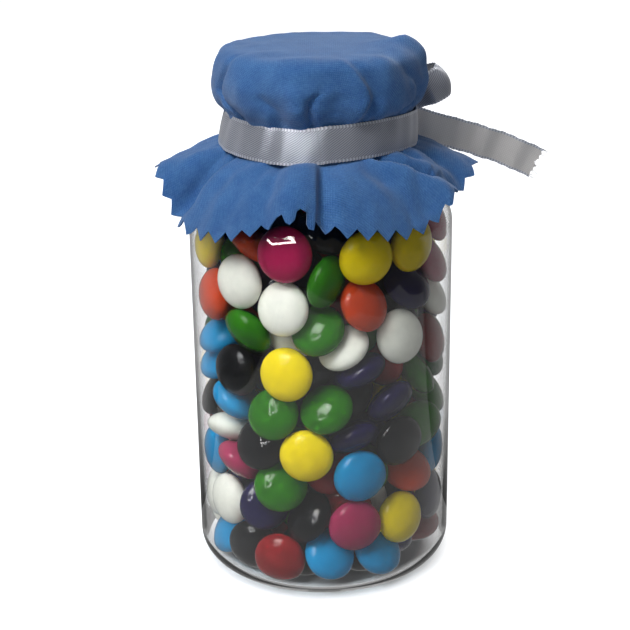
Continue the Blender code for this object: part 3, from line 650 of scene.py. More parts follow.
@dataclass
class ButtonHeap:
    """The buttons that fill the jar: the front ones placed, the rest packed by pushing them apart."""

    jar: Jar
    count: int = 285
    radius: float = 7.5
    half: float = 4.0
    top: float = 116.0
    seed: int = 5
    gap: float = 0.45                  # clearance inside the jar
    margin: float = 5.0                # how far from the glass, base and top the rest start
    tries: int = 12
    placed_zone: float = 21.0          # in front the rest start nearer the axis than this
    shoulder_zone: float = 24.0        # and so in the shoulder
    shoulder_start: float = 103.0
    front_line: float = 4.0            # those nearer the front than this stay behind the placed ones
    front_top: float = 108.0
    front_depth: float = 5.0
    # How firmly a placed one is held if it lies less than so far behind the glass.
    holds: tuple[tuple[float, float], ...] = ((2, 1.0), (4, 0.8), (12, 0.5))
    # The settling: rounds, and how firmly the placed ones are held in them.
    stages: tuple[tuple[int, float], ...] = ((300, 0.95), (200, 0.5), (200, 0.1), (80, 0.0))
    push_share: float = 0.45           # shares of a crossing, a shift and a turn undone in each round
    place_share: float = 0.25
    face_share: float = 0.3
    depth_freedom: float = 0.6         # how freely the held ones move in and out
    way_rounds: int = 8                # rounds and step that find the way between two buttons
    way_step: float = 0.07
    wall_rounds: int = 3               # and the way from one to the wall
    around: int = 36                   # mesh steps round a button
    over: int = 20                     # and over it, from face to face
    uneven: float = 0.10               # depth of a shell's unevenness
    size_spread: float = 0.03
    tall_spread: float = 0.05
    swells: int = 6                    # waves that make a shell uneven
    swell_turns: tuple[float, float] = (1.6, 0.6)    # how tight the first is and how much each next gains
    face_edge: float = 89.6            # where the rows over a button start and end, in degrees
    # Just behind the front ones the buttons are picked from dark colours, as painted shade in the gaps
    # between the front ones, up to this depth and radius.
    painted_shade_line: float = 2.0
    painted_shade_radius: float = 30.0
    dark: tuple[Shell, ...] = (Shell.BLACK, Shell.BLACK, Shell.NAVY, Shell.RED, Shell.NAVY, Shell.GREEN)

    def reach(self, axes: Array, ways: Array) -> Array:
        """From each button's centre to the point of it that lies farthest along each way.

        Args:
            axes: the buttons' unit axes.
            ways: a unit direction for each.

        Returns:
            The way from centre to point, for each.
        """
        flat = self.half ** 2 - self.radius ** 2
        lean = dots(axes, ways)
        far = np.sqrt(self.radius ** 2 + flat * lean ** 2)
        return (self.radius ** 2 * ways + flat * lean[:, None] * axes) / far[:, None]

    def touching(self, centres: Array, axes: Array) -> tuple[Array, ...]:
        """Find the pairs of buttons that cross.

        Args:
            centres: the buttons' centres.
            axes: their unit axes.

        Returns:
            The pairs' numbers, the way between them, their arms and depth.
        """
        one, two = np.triu_indices(len(centres), 1)
        between = centres[two] - centres[one]
        near = dots(between, between) < (2 * self.radius) ** 2
        one, two, between = one[near], two[near], between[near]
        way = scaled(between)
        for _ in range(self.way_rounds):
            gap = between - self.reach(axes[one], way) - self.reach(axes[two], way)
            way = scaled(way + self.way_step * (gap - dots(gap, way)[:, None] * way))
        arm_one, arm_two = self.reach(axes[one], way), -self.reach(axes[two], way)
        depth = dots(arm_one - arm_two - between, way)
        hit = depth > 0
        return one[hit], two[hit], way[hit], arm_one[hit], arm_two[hit], depth[hit]

    def walls(self) -> list[tuple[float, ...]]:
        """Slices of the jar's inside: slope outward and up, then corner radius, height and size.

        Returns:
            Rows of those five values.
        """
        jar = self.jar
        floor, corner = jar.floor + self.gap, jar.heel_inside - self.gap
        inner = jar.radius - jar.wall - self.gap
        walls = [(slope, inner - corner, floor + corner, corner)
                 for slope in (0, -15, -30, -45, -60, -75, -90)]
        walls += [(slope, jar.radius - jar.shoulder, jar.shoulder_height, jar.shoulder - jar.wall - self.gap)
                  for slope in (20, 40, 60)]
        walls.append((90, 0.0, self.top, 0.0))
        return [(round(math.cos(math.radians(slope)), 12), round(math.sin(math.radians(slope)), 12), *size)
                for slope, *size in walls]

    def settle(self, centres: Array, axes: Array, behind: Array, held: Array, rounds: int,
               hold: float) -> tuple[Array, Array]:
        """Push crossing buttons apart and off the jar, the held ones drawn back to their places.

        Args:
            centres: the buttons' centres.
            axes: their unit axes.
            behind: how far behind the glass each stays.
            held: how firmly each is held.
            rounds: how many rounds to run.
            hold: how firmly all are held in these rounds.

        Returns:
            The new centres and axes.
        """
        inertia = (self.radius ** 2 + self.half ** 2) / 5
        count = len(centres)
        homes, faces = centres.copy(), axes.copy()
        outward = scaled(homes * (1, 1, 0) + 1e-9)
        free = (1 - hold * held)[:, None]
        walls = self.walls()
        for _ in range(rounds):
            shift, spin = np.zeros_like(centres), np.zeros_like(centres)
            one, two, way, arm_one, arm_two, depth = self.touching(centres, axes)
            twist_one, twist_two = crosses(arm_one, way), crosses(arm_two, way)
            push = depth / (2 + (dots(twist_one, twist_one) + dots(twist_two, twist_two)) / inertia)
            for k in range(3):
                shift[:, k] += (np.bincount(two, push * way[:, k], count)
                                - np.bincount(one, push * way[:, k], count))
                spin[:, k] += (np.bincount(two, push * twist_two[:, k], count)
                               - np.bincount(one, push * twist_one[:, k], count)) / inertia
            for level, rise, radius, height, corner in walls:
                out = scaled(centres * (1, 1, 0) + 1e-9)
                for _ in range(self.wall_rounds):
                    far = centres + self.reach(axes, out * level + (0, 0, rise))
                    out = scaled(far * (1, 1, 0) + 1e-9)
                way = out * level + (0, 0, rise)
                arm = self.reach(axes, way)
                depth = dots(centres + arm, way) - (radius * level + height * rise + corner)
                depth = np.maximum(depth + behind * level, 0)
                twist = crosses(arm, way)
                push = (depth / (1 + dots(twist, twist) / inertia))[:, None]
                shift -= push * way
                spin -= push * twist / inertia
            centres = centres + self.push_share * free * shift
            axes = scaled(axes + self.push_share * free * crosses(spin, axes))
            back = homes - centres
            back -= self.depth_freedom * dots(back, outward)[:, None] * outward
            centres = centres + (self.place_share * hold * held)[:, None] * back
            axes = scaled(axes + (self.face_share * hold * held)[:, None] * (faces - axes))
        return centres, axes

    def placed(self) -> tuple[list, list]:
        """Centres and axes of the front buttons, each brought up to the glass.

        Returns:
            The centres and the axes.
        """
        centres, axes = [], []
        inner = self.jar.radius - self.jar.wall - self.gap
        flat = self.radius ** 2 - self.half ** 2
        for angle, height, facing, tilt, behind, _ in FRONT_BUTTONS:
            rise = math.radians(tilt)
            lean = math.cos(rise) * math.cos(math.radians(facing - angle))
            wide = math.sqrt(self.radius ** 2 - flat * lean ** 2)
            tall = math.sqrt(self.radius ** 2 - flat * math.sin(rise) ** 2)
            axes.append(tuple(on_jar(math.cos(rise), facing, math.sin(rise))))
            centres.append(tuple(on_jar(inner - wide - behind, angle,
                                        max(height, self.jar.floor + self.gap + tall))))
        return centres, axes

    def filling(self, centres: list, axes: list) -> None:
        """Add the rest at seeded random places, each the farthest of a few from the others.

        Args:
            centres: the placed buttons' centres, which gain the rest's.
            axes: and their axes.
        """
        draw = random.Random(self.seed)
        while len(centres) < self.count:
            best, room = None, -1.0
            for _ in range(self.tries):
                radius = (self.jar.radius - self.jar.wall - self.margin) * math.sqrt(draw.random())
                angle = 360 * draw.random() - 180
                height = self.margin + (self.top - 2 * self.margin) * draw.random()
                spot = tuple(on_jar(radius, angle, height))
                in_front = (spot[1] < self.margin and radius > self.placed_zone
                            and height < self.top - 2 * self.margin)
                in_shoulder = height > self.shoulder_start and radius > self.shoulder_zone
                if in_front or in_shoulder:
                    continue
                clear = min((spot[0] - c[0]) ** 2 + (spot[1] - c[1]) ** 2 + (spot[2] - c[2]) ** 2
                            for c in centres)
                if clear > room:
                    best, room = spot, clear
            rise = math.asin(2 * draw.random() - 1)
            axis = tuple(on_jar(math.cos(rise), 360 * draw.random(), math.sin(rise)))
            if best:
                centres.append(best)
                axes.append(axis)

    def lay(self) -> tuple[Array, Array]:
        """Centres and unit axes of all the settled buttons.

        Returns:
            The centres and the axes.
        """
        centres, axes = self.placed()
        placed = len(centres)
        self.filling(centres, axes)
        centres, axes = np.round(np.array(centres), 6), np.round(np.array(axes), 9)
        front = (centres[:, 1] < self.front_line) & (centres[:, 2] < self.front_top)
        behind = np.where(front, self.front_depth, 0.0)
        behind[:placed] = [row[4] for row in FRONT_BUTTONS]
        held = np.zeros(len(centres))
        held[:placed] = [next(hold for depth, hold in self.holds if row[4] < depth) for row in FRONT_BUTTONS]
        for rounds, hold in self.stages:
            centres, axes = self.settle(centres, axes, behind, held, rounds, hold)
        return centres, axes

    def shells(self, centres: Array) -> list[Shell]:
        """Pick the colours: as placed in front, dark just behind as painted shade in the gaps, any
        elsewhere.

        Args:
            centres: all the buttons' centres, the placed ones first.

        Returns:
            Each button's colour.
        """
        draw = random.Random(self.seed + 1)
        shells = [row[5] for row in FRONT_BUTTONS]
        for x, y, height in centres[len(shells):]:
            # Dark colours just behind the front ones are painted shade for the gaps between them.
            near = y < self.painted_shade_line and height < self.front_top and math.hypot(x, y) < self.painted_shade_radius
            shells.append(draw.choice(self.dark if near else tuple(Shell)))
        return shells

    def shape(self, draw: random.Random) -> Array:
        """Make one button's points about its centre, its axis along z.

        Args:
            draw: the source of its unevenness.

        Returns:
            Rows from face to face by columns round it, by three.
        """
        size = 1 - self.size_spread * draw.random()
        tall = 1 + self.tall_spread * (draw.random() - 0.5)
        turn = np.arange(self.around) * math.tau / self.around
        rise = np.linspace(-90, 90, self.over + 1)[1:-1]
        rise = np.radians(np.concatenate(([-self.face_edge], rise, [self.face_edge])))[:, None]
        ball = np.stack((np.cos(rise) * np.cos(turn), np.cos(rise) * np.sin(turn),
                         np.sin(rise) * np.ones_like(turn)), -1)
        bump = np.zeros(ball.shape[:2])
        first, more = self.swell_turns
        for number in range(self.swells):
            way = gauss(draw)
            way *= (first + more * number) / np.linalg.norm(way)
            bump += np.sin(ball @ way + math.tau * draw.random()) / (1.5 + number)
        points = ball * (self.radius * size, self.radius * size, self.half * size * tall)
        return points + unit(points) * (self.uneven * bump)[..., None]

    def build(self) -> None:
        """Lay the buttons, mesh them colour by colour and replace the heap's solid."""
        centres, axes = self.lay()
        draw = random.Random(self.seed + 2)
        patches = {shell: Patch() for shell in Shell}
        for centre, axis, shell in zip(centres, axes, self.shells(centres)):
            local = self.shape(draw)
            side = unit(np.cross(axis, (0.3, 0.5, 0.8)))
            points = (centre + local[..., :1] * side + local[..., 1:2] * np.cross(axis, side)
                      + local[..., 2:] * axis)
            patches[shell].tube(points, local[..., :2])
        for shell, patch in patches.items():
            name = shell.name.lower()
            finish = PannedSugarShell(f"panned_sugar_{name}", shell.value, 0.08)
            thing = patch.build(f"buttons_{name}", [finish.build()])
            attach(thing, BODY)
            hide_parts("chocolate_buttons")


@dataclass(frozen=True)
class Stop:
    """One stop of a fold: distance from the cloth's middle, angle, rise, half width and lean."""

    run: float
    angle: float
    rise: float
    half_width: float         # degrees
    lean: float = 0.0         # how far the crest leans to the right


@dataclass(frozen=True)
class Fold:
    """A fold that runs down the cloth from stop to stop; one with a negative rise is a valley."""

    stops: tuple[Stop, ...]
    sharpness: float = 2.0    # 2 is round, less is a sharper crest
    fade: float = 3.0         # how far past its ends it fades out

    def at(self, runs: Array, angles: Array) -> tuple[Array, Array]:
        """Work out the fold at every point of the cloth.

        Args:
            runs: each row's distance from the cloth's middle, as a column.
            angles: each column's angle, as a row.

        Returns:
            How far the points rise, and how far they lean to the right.
        """
        places, *values = zip(*map(astuple, self.stops))
        centre, rise, width, lean = (np.interp(runs, places, row) for row in values)
        away = np.abs((angles - centre + 180) % 360 - 180) / width
        ends = (ease(np.clip((runs - places[0] + self.fade) / self.fade, 0, 1))
                * ease(np.clip((places[-1] + self.fade - runs) / self.fade, 0, 1)))
        shape = np.exp(-away ** self.sharpness) * ends
        return shape * rise, shape * lean


def folds(*rows: tuple[tuple[float, ...], ...], sharpness: float = 2.0) -> tuple[Fold, ...]:
    """Folds from plain rows of stops."""
    return tuple(Fold(tuple(Stop(*stop) for stop in row), sharpness) for row in rows)


@dataclass(frozen=True)
class BandLine:
    """The height of the ribbon's middle round the neck."""

    stops: tuple[tuple[float, float], ...] = (
        (-180, 128.0), (-146, 127.6), (-110, 127.4), (-90, 127.3), (-75, 127.2), (-65, 126.9), (-50, 126.7),
        (-36, 126.5), (-26, 126.2), (-13, 126.2), (-5, 126.5), (8, 127.1), (23, 127.4), (42, 127.6),
        (60, 127.4), (75, 127.0), (90, 127.0), (120, 127.6), (146, 128.2))

    def at(self, angles: Array | float) -> Array:
        """The height at some angles, eased from stop to stop."""
        return round_table(self.stops, angles, 1.0)[0]


@dataclass
class ClothCover:
    """A pinked round of cotton laid over the lid, drawn in by the ribbon and flaring to a wavy hem."""

    finish: PlainWeaveCotton
    line: BandLine
    thickness: float = 0.35
    pitch: float = 5.25                # from tooth to tooth along the hem
    first_tooth: float = 0.5           # where the teeth start, as a share of that
    columns_a_tooth: int = 6
    tooth: float = 1.9                 # how far the teeth reach past the hem's notches
    hem_run: float = 70.3              # from the cloth's middle to the notches of the edge
    tie_run: tuple[float, float] = (43.0, 52.0)    # where the ribbon's edges lie on it
    tie_half: float = 4.7
    neck: float = 25.2
    # The middle line over the lid, from the centre out: run, radius and height.
    dome: tuple[tuple[float, float, float], ...] = (
        (0, 0, 148.5), (10, 10, 148.45), (20, 20, 148.25), (23.6, 23.6, 148.05), (25.6, 25.5, 147.5),
        (27.6, 27.0, 146.1), (31.0, 27.8, 142.9), (34.6, 28.35, 139.5), (38.2, 28.0, 135.8),
        (40.8, 26.9, 133.3))
    # The hem's notches: angle, radius and height of the lobes and of the tucks between them.
    hem: tuple[tuple[float, float, float], ...] = (
        (-176, 42.5, 114.5), (-153, 39.2, 107.0), (-130, 39.0, 109.5), (-109, 41.0, 112.8),
        (-92, 42.8, 116.0), (-84, 43.2, 116.2), (-77, 42.8, 113.9), (-72.5, 41.9, 109.6),
        (-68, 40.9, 105.9), (-58, 40.2, 104.9), (-48, 39.7, 104.7), (-40.5, 39.5, 105.2),
        (-32, 39.3, 106.7), (-25, 39.0, 108.4), (-18, 38.7, 110.4), (-12.5, 38.4, 112.0),
        (-8.5, 38.0, 112.4), (-4.5, 38.0, 110.9), (1.5, 38.2, 109.4), (11.5, 38.8, 108.1),
        (19.4, 39.1, 107.4), (27.3, 39.4, 106.7), (35.8, 39.7, 106.4), (44, 40.1, 107.6),
        (50, 40.4, 110.0), (55, 40.6, 112.9), (58.5, 40.4, 114.2), (63, 38.8, 113.6), (68, 38.2, 111.8),
        (73, 39.2, 112.2), (78, 40.8, 114.6), (84, 41.4, 116.2), (93, 40.6, 116.0), (104, 40.0, 113.8),
        (117, 39.4, 110.8), (132, 39.0, 108.0), (150, 39.2, 107.0), (168, 40.6, 111.0))
    arch: float = 2.4                  # how far the skirt bows up above a straight line
    bow: float = 0.6                   # its bow outward, as a share of that
    # How deep the folds may go before they meet the lid: run and depth.
    depths: tuple[tuple[float, float], ...] = (
        (18, 0.5), (22, 0.55), (25, 0.35), (28, 0.5), (31, 1.5), (36, 2.2), (39, 1.9), (41, 1.2),
        (44, 3), (50, 9))
    # How high they may stand, which is least where the ribbon binds them: run and rise.
    crests: tuple[tuple[float, float], ...] = (
        (36, 30), (38.5, 2.2), (41, 0.7), (42.5, 0.25), (52.5, 0.25), (54, 0.8), (56, 2.5), (58, 30))
    wrinkle: float = 0.12
    wrinkles: int = 36
    wrinkle_lengths: tuple[float, float] = (5.0, 16.0)      # the shortest, and how much longer they get
    calm: tuple[float, float, float] = (8.0, 14.0, 0.25)    # where they set in, over what run, and the least
    gather: float = 0.35               # depth of the fine gathers under the ribbon
    gathers: int = 44
    gather_width: tuple[float, float] = (1.6, 2.4)    # the narrowest in degrees, and how much wider they get
    gather_drift: float = 0.4
    gather_near: float = 4.5           # they are deepest this far above and below the ribbon's middle
    gather_reach: float = 5.0
    # How far above that middle the neck is narrowest, and by how much.
    waist: tuple[float, float] = (0.5, 0.3)
    # The skirt stands lower at the sides: the angles, their width, and how much of the arch is lost.
    low_sides: tuple[float, float] = (-88, 88)
    low_width: float = 27.0
    low_share: float = 0.85
    # Rows of the mesh down to the skirt, as first and last run and count, and then the skirt's.
    rows: tuple[tuple[float, float, int], ...] = ((0.8, 22, 20), (22.5, 43, 46), (43.9, 52, 8))
    skirt_rows: tuple[float, int] = (52.5, 46)
    tooth_run: float = 4.0             # how far in from the notches the teeth begin to form
    soften: int = 6                    # rounds of smoothing from row to row
    hem_steps: int = 3600              # steps in which the hem's length is measured
    seed: int = 11
    rounds: tuple[Fold, ...] = folds(
        # over the lid's side, from the left round to the right
        ((25, -82, 0.1, 9), (31, -82, 0.3, 10), (36, -82, 0.5, 10, -0.5), (40, -82, 0.4, 9),
         (43, -80, 0.1, 8)),
        ((27, -42, 0.1, 12), (33, -46, 0.4, 12), (38, -46, 0.6, 11), (42, -44, 0.2, 9)),
        ((31, -13, 0.2, 6), (35, -13, 1.1, 6, 0.5), (38, -13, 1.6, 6, 0.9), (41, -13, 1.3, 5, 0.8),
         (44, -12, 0.3, 5)),
        ((27, 42, 0.1, 11), (33, 47, 0.5, 13), (38, 48, 0.7, 12), (42, 40, 0.2, 10)),
        ((13, 76, 0.7, 18), (18, 78, 1.9, 16), (23, 80, 3.3, 13), (26, 82, 2.0, 11), (31, 84, 0.7, 9),
         (36, 86, 0.5, 10), (40, 84, 0.3, 10)),
        ((26, 118, 0.3, 9), (34, 116, 0.9, 10), (40, 120, 1.0, 9), (43, 121, 0.3, 8)),
        ((26, 158, 0.2, 8), (34, 162, 1.0, 9, -0.6), (40, 158, 1.2, 8), (43, 157, 0.3, 8)),
        ((27, 200, 0.2, 9), (35, 197, 1.0, 9, 0.7), (40, 199, 1.0, 8), (43, 200, 0.3, 8)),
        ((26, 236, 0.3, 9), (34, 240, 0.9, 9), (40, 238, 1.1, 9), (43, 236, 0.3, 8)),
        # down the skirt
        ((54, -73, 0.5, 6), (60, -76, 1.7, 7), (68, -79, 1.9, 7), (74, -81, 1.2, 8)),
        ((54, -38, 0.3, 7), (62, -42, 0.8, 8), (73, -46, 0.6, 9)),
        ((55, -30, -0.3, 5), (60, -34, -0.7, 6), (66, -40, -0.3, 6)),
        ((53, -22, -0.7, 3), (62, -22.5, -1.2, 3.6), (70, -23, -0.6, 4)),
        ((54, 17, -0.3, 5), (60, 30, -1.0, 6), (68, 42, -0.8, 7)),
        ((53, 84, 0.3, 9), (62, 88, 0.8, 12), (74, 90, 0.6, 12)),
        ((54, 128, -0.6, 8), (62, 128, -1.6, 10), (72, 128, -1.0, 10)),
        ((54, 178, 0.8, 8), (62, 180, 2.0, 9, 0.8), (74, 181, 1.2, 10, 0.6)),
        ((54, 222, -0.8, 8), (62, 222, -1.8, 10), (72, 222, -1.2, 10)),
        ((54, 252, 0.8, 8), (62, 254, 1.4, 9, -0.8), (74, 254, 1.0, 10)))
    tubes: tuple[Fold, ...] = folds(
        ((52.5, -10.3, 0.9, 8.2, 0.5), (58, -10.3, 1.5, 8.5, 1.3), (66, -10.5, 1.8, 8.2, 2.2),
         (74, -10.5, 1.6, 7.6, 2.6)),
        sharpness=4)
    creases: tuple[Fold, ...] = folds(
        # over the lid's side
        ((24, -57.6, -0.4, 2.4), (28.5, -60.6, -1.3, 2.6), (32.8, -66.6, -2.6, 2.9, -0.4),
         (36, -68.6, -2.9, 3, -0.5), (39, -64.2, -2.5, 3.2), (42, -53.7, -1.2, 3.6)),
        ((34, -33, -0.3, 5), (36, -31, -1.0, 5), (38.2, -25.5, -1.4, 5), (41, -23.4, -1.1, 4.5),
         (43.5, -23.7, -0.5, 4)),
        ((33.5, 0.5, -0.4, 2.2), (35.5, -4.5, -1.5, 2.2, -0.3), (38.5, -5.5, -2.0, 2.2, -0.5),
         (42.5, -4.5, -1.2, 2.4)),
        ((33, 10, -0.4, 6), (35.5, 9, -1.3, 6), (39, 8, -1.5, 6), (42, 6, -0.6, 5)),
        ((25, 13.5, 0.3, 3), (28, 17, 0.9, 3.5, 0.6), (32.5, 21.8, 1.3, 3.5, 1.1),
         (35.5, 23.4, 1.4, 3.6, 1.4), (38.5, 21, 1.3, 3.6, 1.2), (42, 18, 0.5, 4, 0.4)),
        ((25, 18.5, -0.1, 3), (28, 23, -0.4, 3.5), (32.5, 28.5, -1.1, 4), (35.5, 30.5, -1.5, 4.5),
         (38.5, 28.4, -1.4, 4.5), (42, 25, -0.6, 4)),
        ((24, 46.8, -0.1, 4), (30.6, 56.8, -0.9, 4.5), (35.4, 70.3, -1.6, 4.5), (38.5, 70.6, -1.7, 5),
         (40.5, 54, -1.2, 6), (42.5, 50, -0.5, 6)),
        # down the skirt
        ((52.5, -57, -1.4, 4), (56, -61, -3.2, 5, 0.4), (61, -64, -4.4, 5.5, 0.6),
         (66, -67, -3.8, 6, 0.4), (72, -71, -1.6, 6)),
        ((52.5, -51, 0.6, 4, -0.8), (58, -53, 1.2, 5, -1.6), (64, -56, 1.4, 6, -1.6),
         (72, -60, 0.8, 6, -0.8)),
        ((53, 2, -1.0, 3, -0.6), (60, 2, -1.9, 3.4, -1.2), (70, 2, -1.4, 3.6, -1.4)),
        ((52.5, 24.6, 0.8, 3.5, 0.3), (55.5, 32.7, 1.6, 4.5, 1.0), (59, 42, 2.4, 5, 1.6),
         (65, 50, 2.6, 5.5, 1.4), (73, 55, 1.8, 5.5, 0.4)),
        ((52.5, 33, -1.0, 3), (56, 40, -2.0, 4, -0.8), (60, 49, -2.8, 4.5, -1.4),
         (66, 60, -3.0, 5, -1.4), (73, 67, -1.4, 5)),
        ((52.5, 45, 0.9, 3.5), (57, 50, 0.9, 3.5), (61, 57, 0.4, 3)),
        ((52.5, 52, -1.0, 2.5), (57, 56, -1.2, 3), (62, 62, -0.8, 3)),
        ((52.5, 60, 0.8, 4), (58, 64, 0.9, 4), (66, 70, 0.4, 4)),
        ((52.5, 69, -0.8, 4), (58, 73, -1.5, 4.5), (66, 75, -1.2, 5), (73, 74, -0.4, 5)),
        sharpness=1.5)

    def gathered(self, runs: Array, angles: Array) -> Array:
        """The fine gathers that the ribbon draws in, deepest just above and below it.

        Args:
            runs: distance from the cloth's middle, rows by columns.
            angles: angle from the front, rows by columns.

        Returns:
            How far they rise.
        """
        draw = random.Random(self.seed)
        total = np.zeros(np.broadcast_shapes(runs.shape, angles.shape))
        middle = sum(self.tie_run) / 2
        narrow, spread = self.gather_width
        reach = np.exp(-((np.abs(runs - middle) - self.gather_near) / self.gather_reach) ** 2)
        for _ in range(self.gathers):
            centre, wide = 360 * draw.random(), narrow + spread * draw.random()
            drift, amount = 0.5 * draw.gauss(0, 1), draw.choice((-1, 1)) * (0.6 + 0.8 * draw.random())
            away = (angles - centre - drift * (runs - middle) * self.gather_drift + 180) % 360 - 180
            total += amount * np.exp(-(away / wide) ** 2)
        return self.gather * reach * total

    def crumpled(self, runs: Array, angles: Array) -> Array:
        """Soft wrinkles all over the cloth, as seeded waves on the flat round.

        Args:
            runs: distance from the cloth's middle, rows by columns.
            angles: angle from the front, rows by columns.

        Returns:
            How far they rise.
        """
        draw = random.Random(self.seed + 1)
        turn = np.radians(angles)
        flat = (runs * np.sin(turn), runs * np.cos(turn))
        total = np.zeros(flat[0].shape)
        shortest, longer = self.wrinkle_lengths
        for _ in range(self.wrinkles):
            length = shortest + longer * draw.random()
            way, phase = math.tau * draw.random(), math.tau * draw.random()
            wave = np.sin(math.tau / length * (flat[0] * math.cos(way) + flat[1] * math.sin(way)) + phase)
            total += wave * length / longer
        start, over, least = self.calm
        return self.wrinkle * total / 2 * np.clip((runs - start) / over, least, 1)

    def hem_line(self, angles: Array) -> list[Array]:
        """The hem's radius and height at some angles, half eased between the lobes and tucks."""
        return round_table(self.hem, angles, 0.5)

    def columns(self) -> Array:
        """Angles of the columns, so many to a tooth and the teeth evenly spaced along the hem.

        Returns:
            The angles in degrees, rising.
        """
        fine = np.linspace(-180, 180, self.hem_steps + 1)
        radius, height = self.hem_line(fine)
        steps = np.linalg.norm(np.diff(on_jar(radius, fine, height), axis=0), axis=1)
        lengths = np.concatenate(([0.0], np.cumsum(steps)))
        count = round(lengths[-1] / self.pitch) * self.columns_a_tooth
        start = self.first_tooth * self.pitch
        places = np.sort((np.arange(count) / count * lengths[-1] + start) % lengths[-1])
        return np.interp(places, lengths, fine)

    def ways(self, points: Array) -> tuple[Array, Array]:
        """Down and across the cloth at each point, of any length."""
        return np.gradient(points, axis=0), np.roll(points, -1, 1) - np.roll(points, 1, 1)

    def middle(self, runs: Array, angles: Array) -> Array:
        """Points of the cloth's middle surface before its folds.

        Args:
            runs: distance from the cloth's middle, rows by columns.
            angles: angle from the front, rows by columns.

        Returns:
            Rows by columns by three.
        """
        dome = np.array(self.dome)
        tie = self.line.at(angles)
        top, low = self.tie_run
        up, inward = self.waist
        places = np.concatenate((dome[:, 0], (top, (top + low) / 2 - up)))
        radius = np.interp(runs, places, np.concatenate((dome[:, 1], (self.neck, self.neck - inward))))
        height = np.interp(runs, places[:-2], dome[:, 2])
        share = np.clip((runs - dome[-1, 0]) / (top - dome[-1, 0]), 0, 1)
        height = height + (tie + self.tie_half - dome[-1, 2]) * share
        share = np.clip((runs - top) / (low - top), 0, 1)
        height = height - 2 * self.tie_half * share
        hem_radius, hem_height = self.hem_line(angles)
        share = np.maximum((runs - low) / (self.hem_run - low), 0)
        level = sum(np.exp(-((angles - side) / self.low_width) ** 2) for side in self.low_sides)
        arch = self.arch * (1 - self.low_share * level) * 4 * share * (1 - share)
        skirt_radius = self.neck + (hem_radius - self.neck) * share + self.bow * arch
        root = tie - self.tie_half
        skirt_height = root + (hem_height - root) * share + arch
        out = runs > low
        return on_jar(np.where(out, skirt_radius, radius), angles, np.where(out, skirt_height, height))

    def surface(self) -> tuple[Array, Array]:
        """Lay out the whole middle surface.

        Returns:
            Its points, and the same points on the flat round.
        """
        angles = self.columns()[None]
        first, count = self.skirt_rows
        spans = (*self.rows, (first, self.hem_run, count))
        rows = np.concatenate([np.linspace(*span) for span in spans])[:, None]
        half = self.columns_a_tooth / 2
        tip = (np.abs(np.arange(angles.size) % self.columns_a_tooth - half) / half)[None] * self.tooth
        runs = rows + tip * np.clip((rows - self.hem_run + self.tooth_run) / self.tooth_run, 0, 1)
        angles = np.broadcast_to(angles, runs.shape)
        points = self.middle(runs, angles)
        for _ in range(self.soften):
            soft = points.copy()
            soft[1:-1] = (points[:-2] + 2 * points[1:-1] + points[2:]) / 4
            points = soft
        down, across = (unit(way) for way in self.ways(points))
        normal = unit(np.cross(down, across))
        rise, lean = np.zeros(runs.shape), np.zeros(runs.shape)
        for fold in self.rounds + self.tubes + self.creases:
            up, aside = fold.at(runs, angles)
            rise += up
            lean += aside
        rise += self.gathered(runs, angles) + self.crumpled(runs, angles)
        deepest, highest = (np.interp(runs, *zip(*table)) for table in (self.depths, self.crests))
        rise = np.where(rise < 0, deepest * np.tanh(rise / deepest), highest * np.tanh(rise / highest))
        points = points + normal * rise[..., None] + across * lean[..., None]
        turn = np.radians(angles)
        return points, np.stack((runs * np.sin(turn), -runs * np.cos(turn)), -1)

    def build(self) -> None:
        points, flat = self.surface()
        normal = unit(np.cross(*self.ways(points)))
        patch = Patch()
        hems = []
        for side in (1, -1):
            sheet = points + normal * side * self.thickness / 2
            numbers = patch.grid(sheet, flat, (False, True), flip=side > 0)
            patch.add_faces(numbers[:1] if side > 0 else numbers[:1, ::-1])
            hems.append(numbers[-1])
        patch.strip(hems[1], hems[0], True)
        thing = patch.build("cotton_cover", [self.finish.build()], 70)
        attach(thing, BODY)
        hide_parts("cloth_cover")


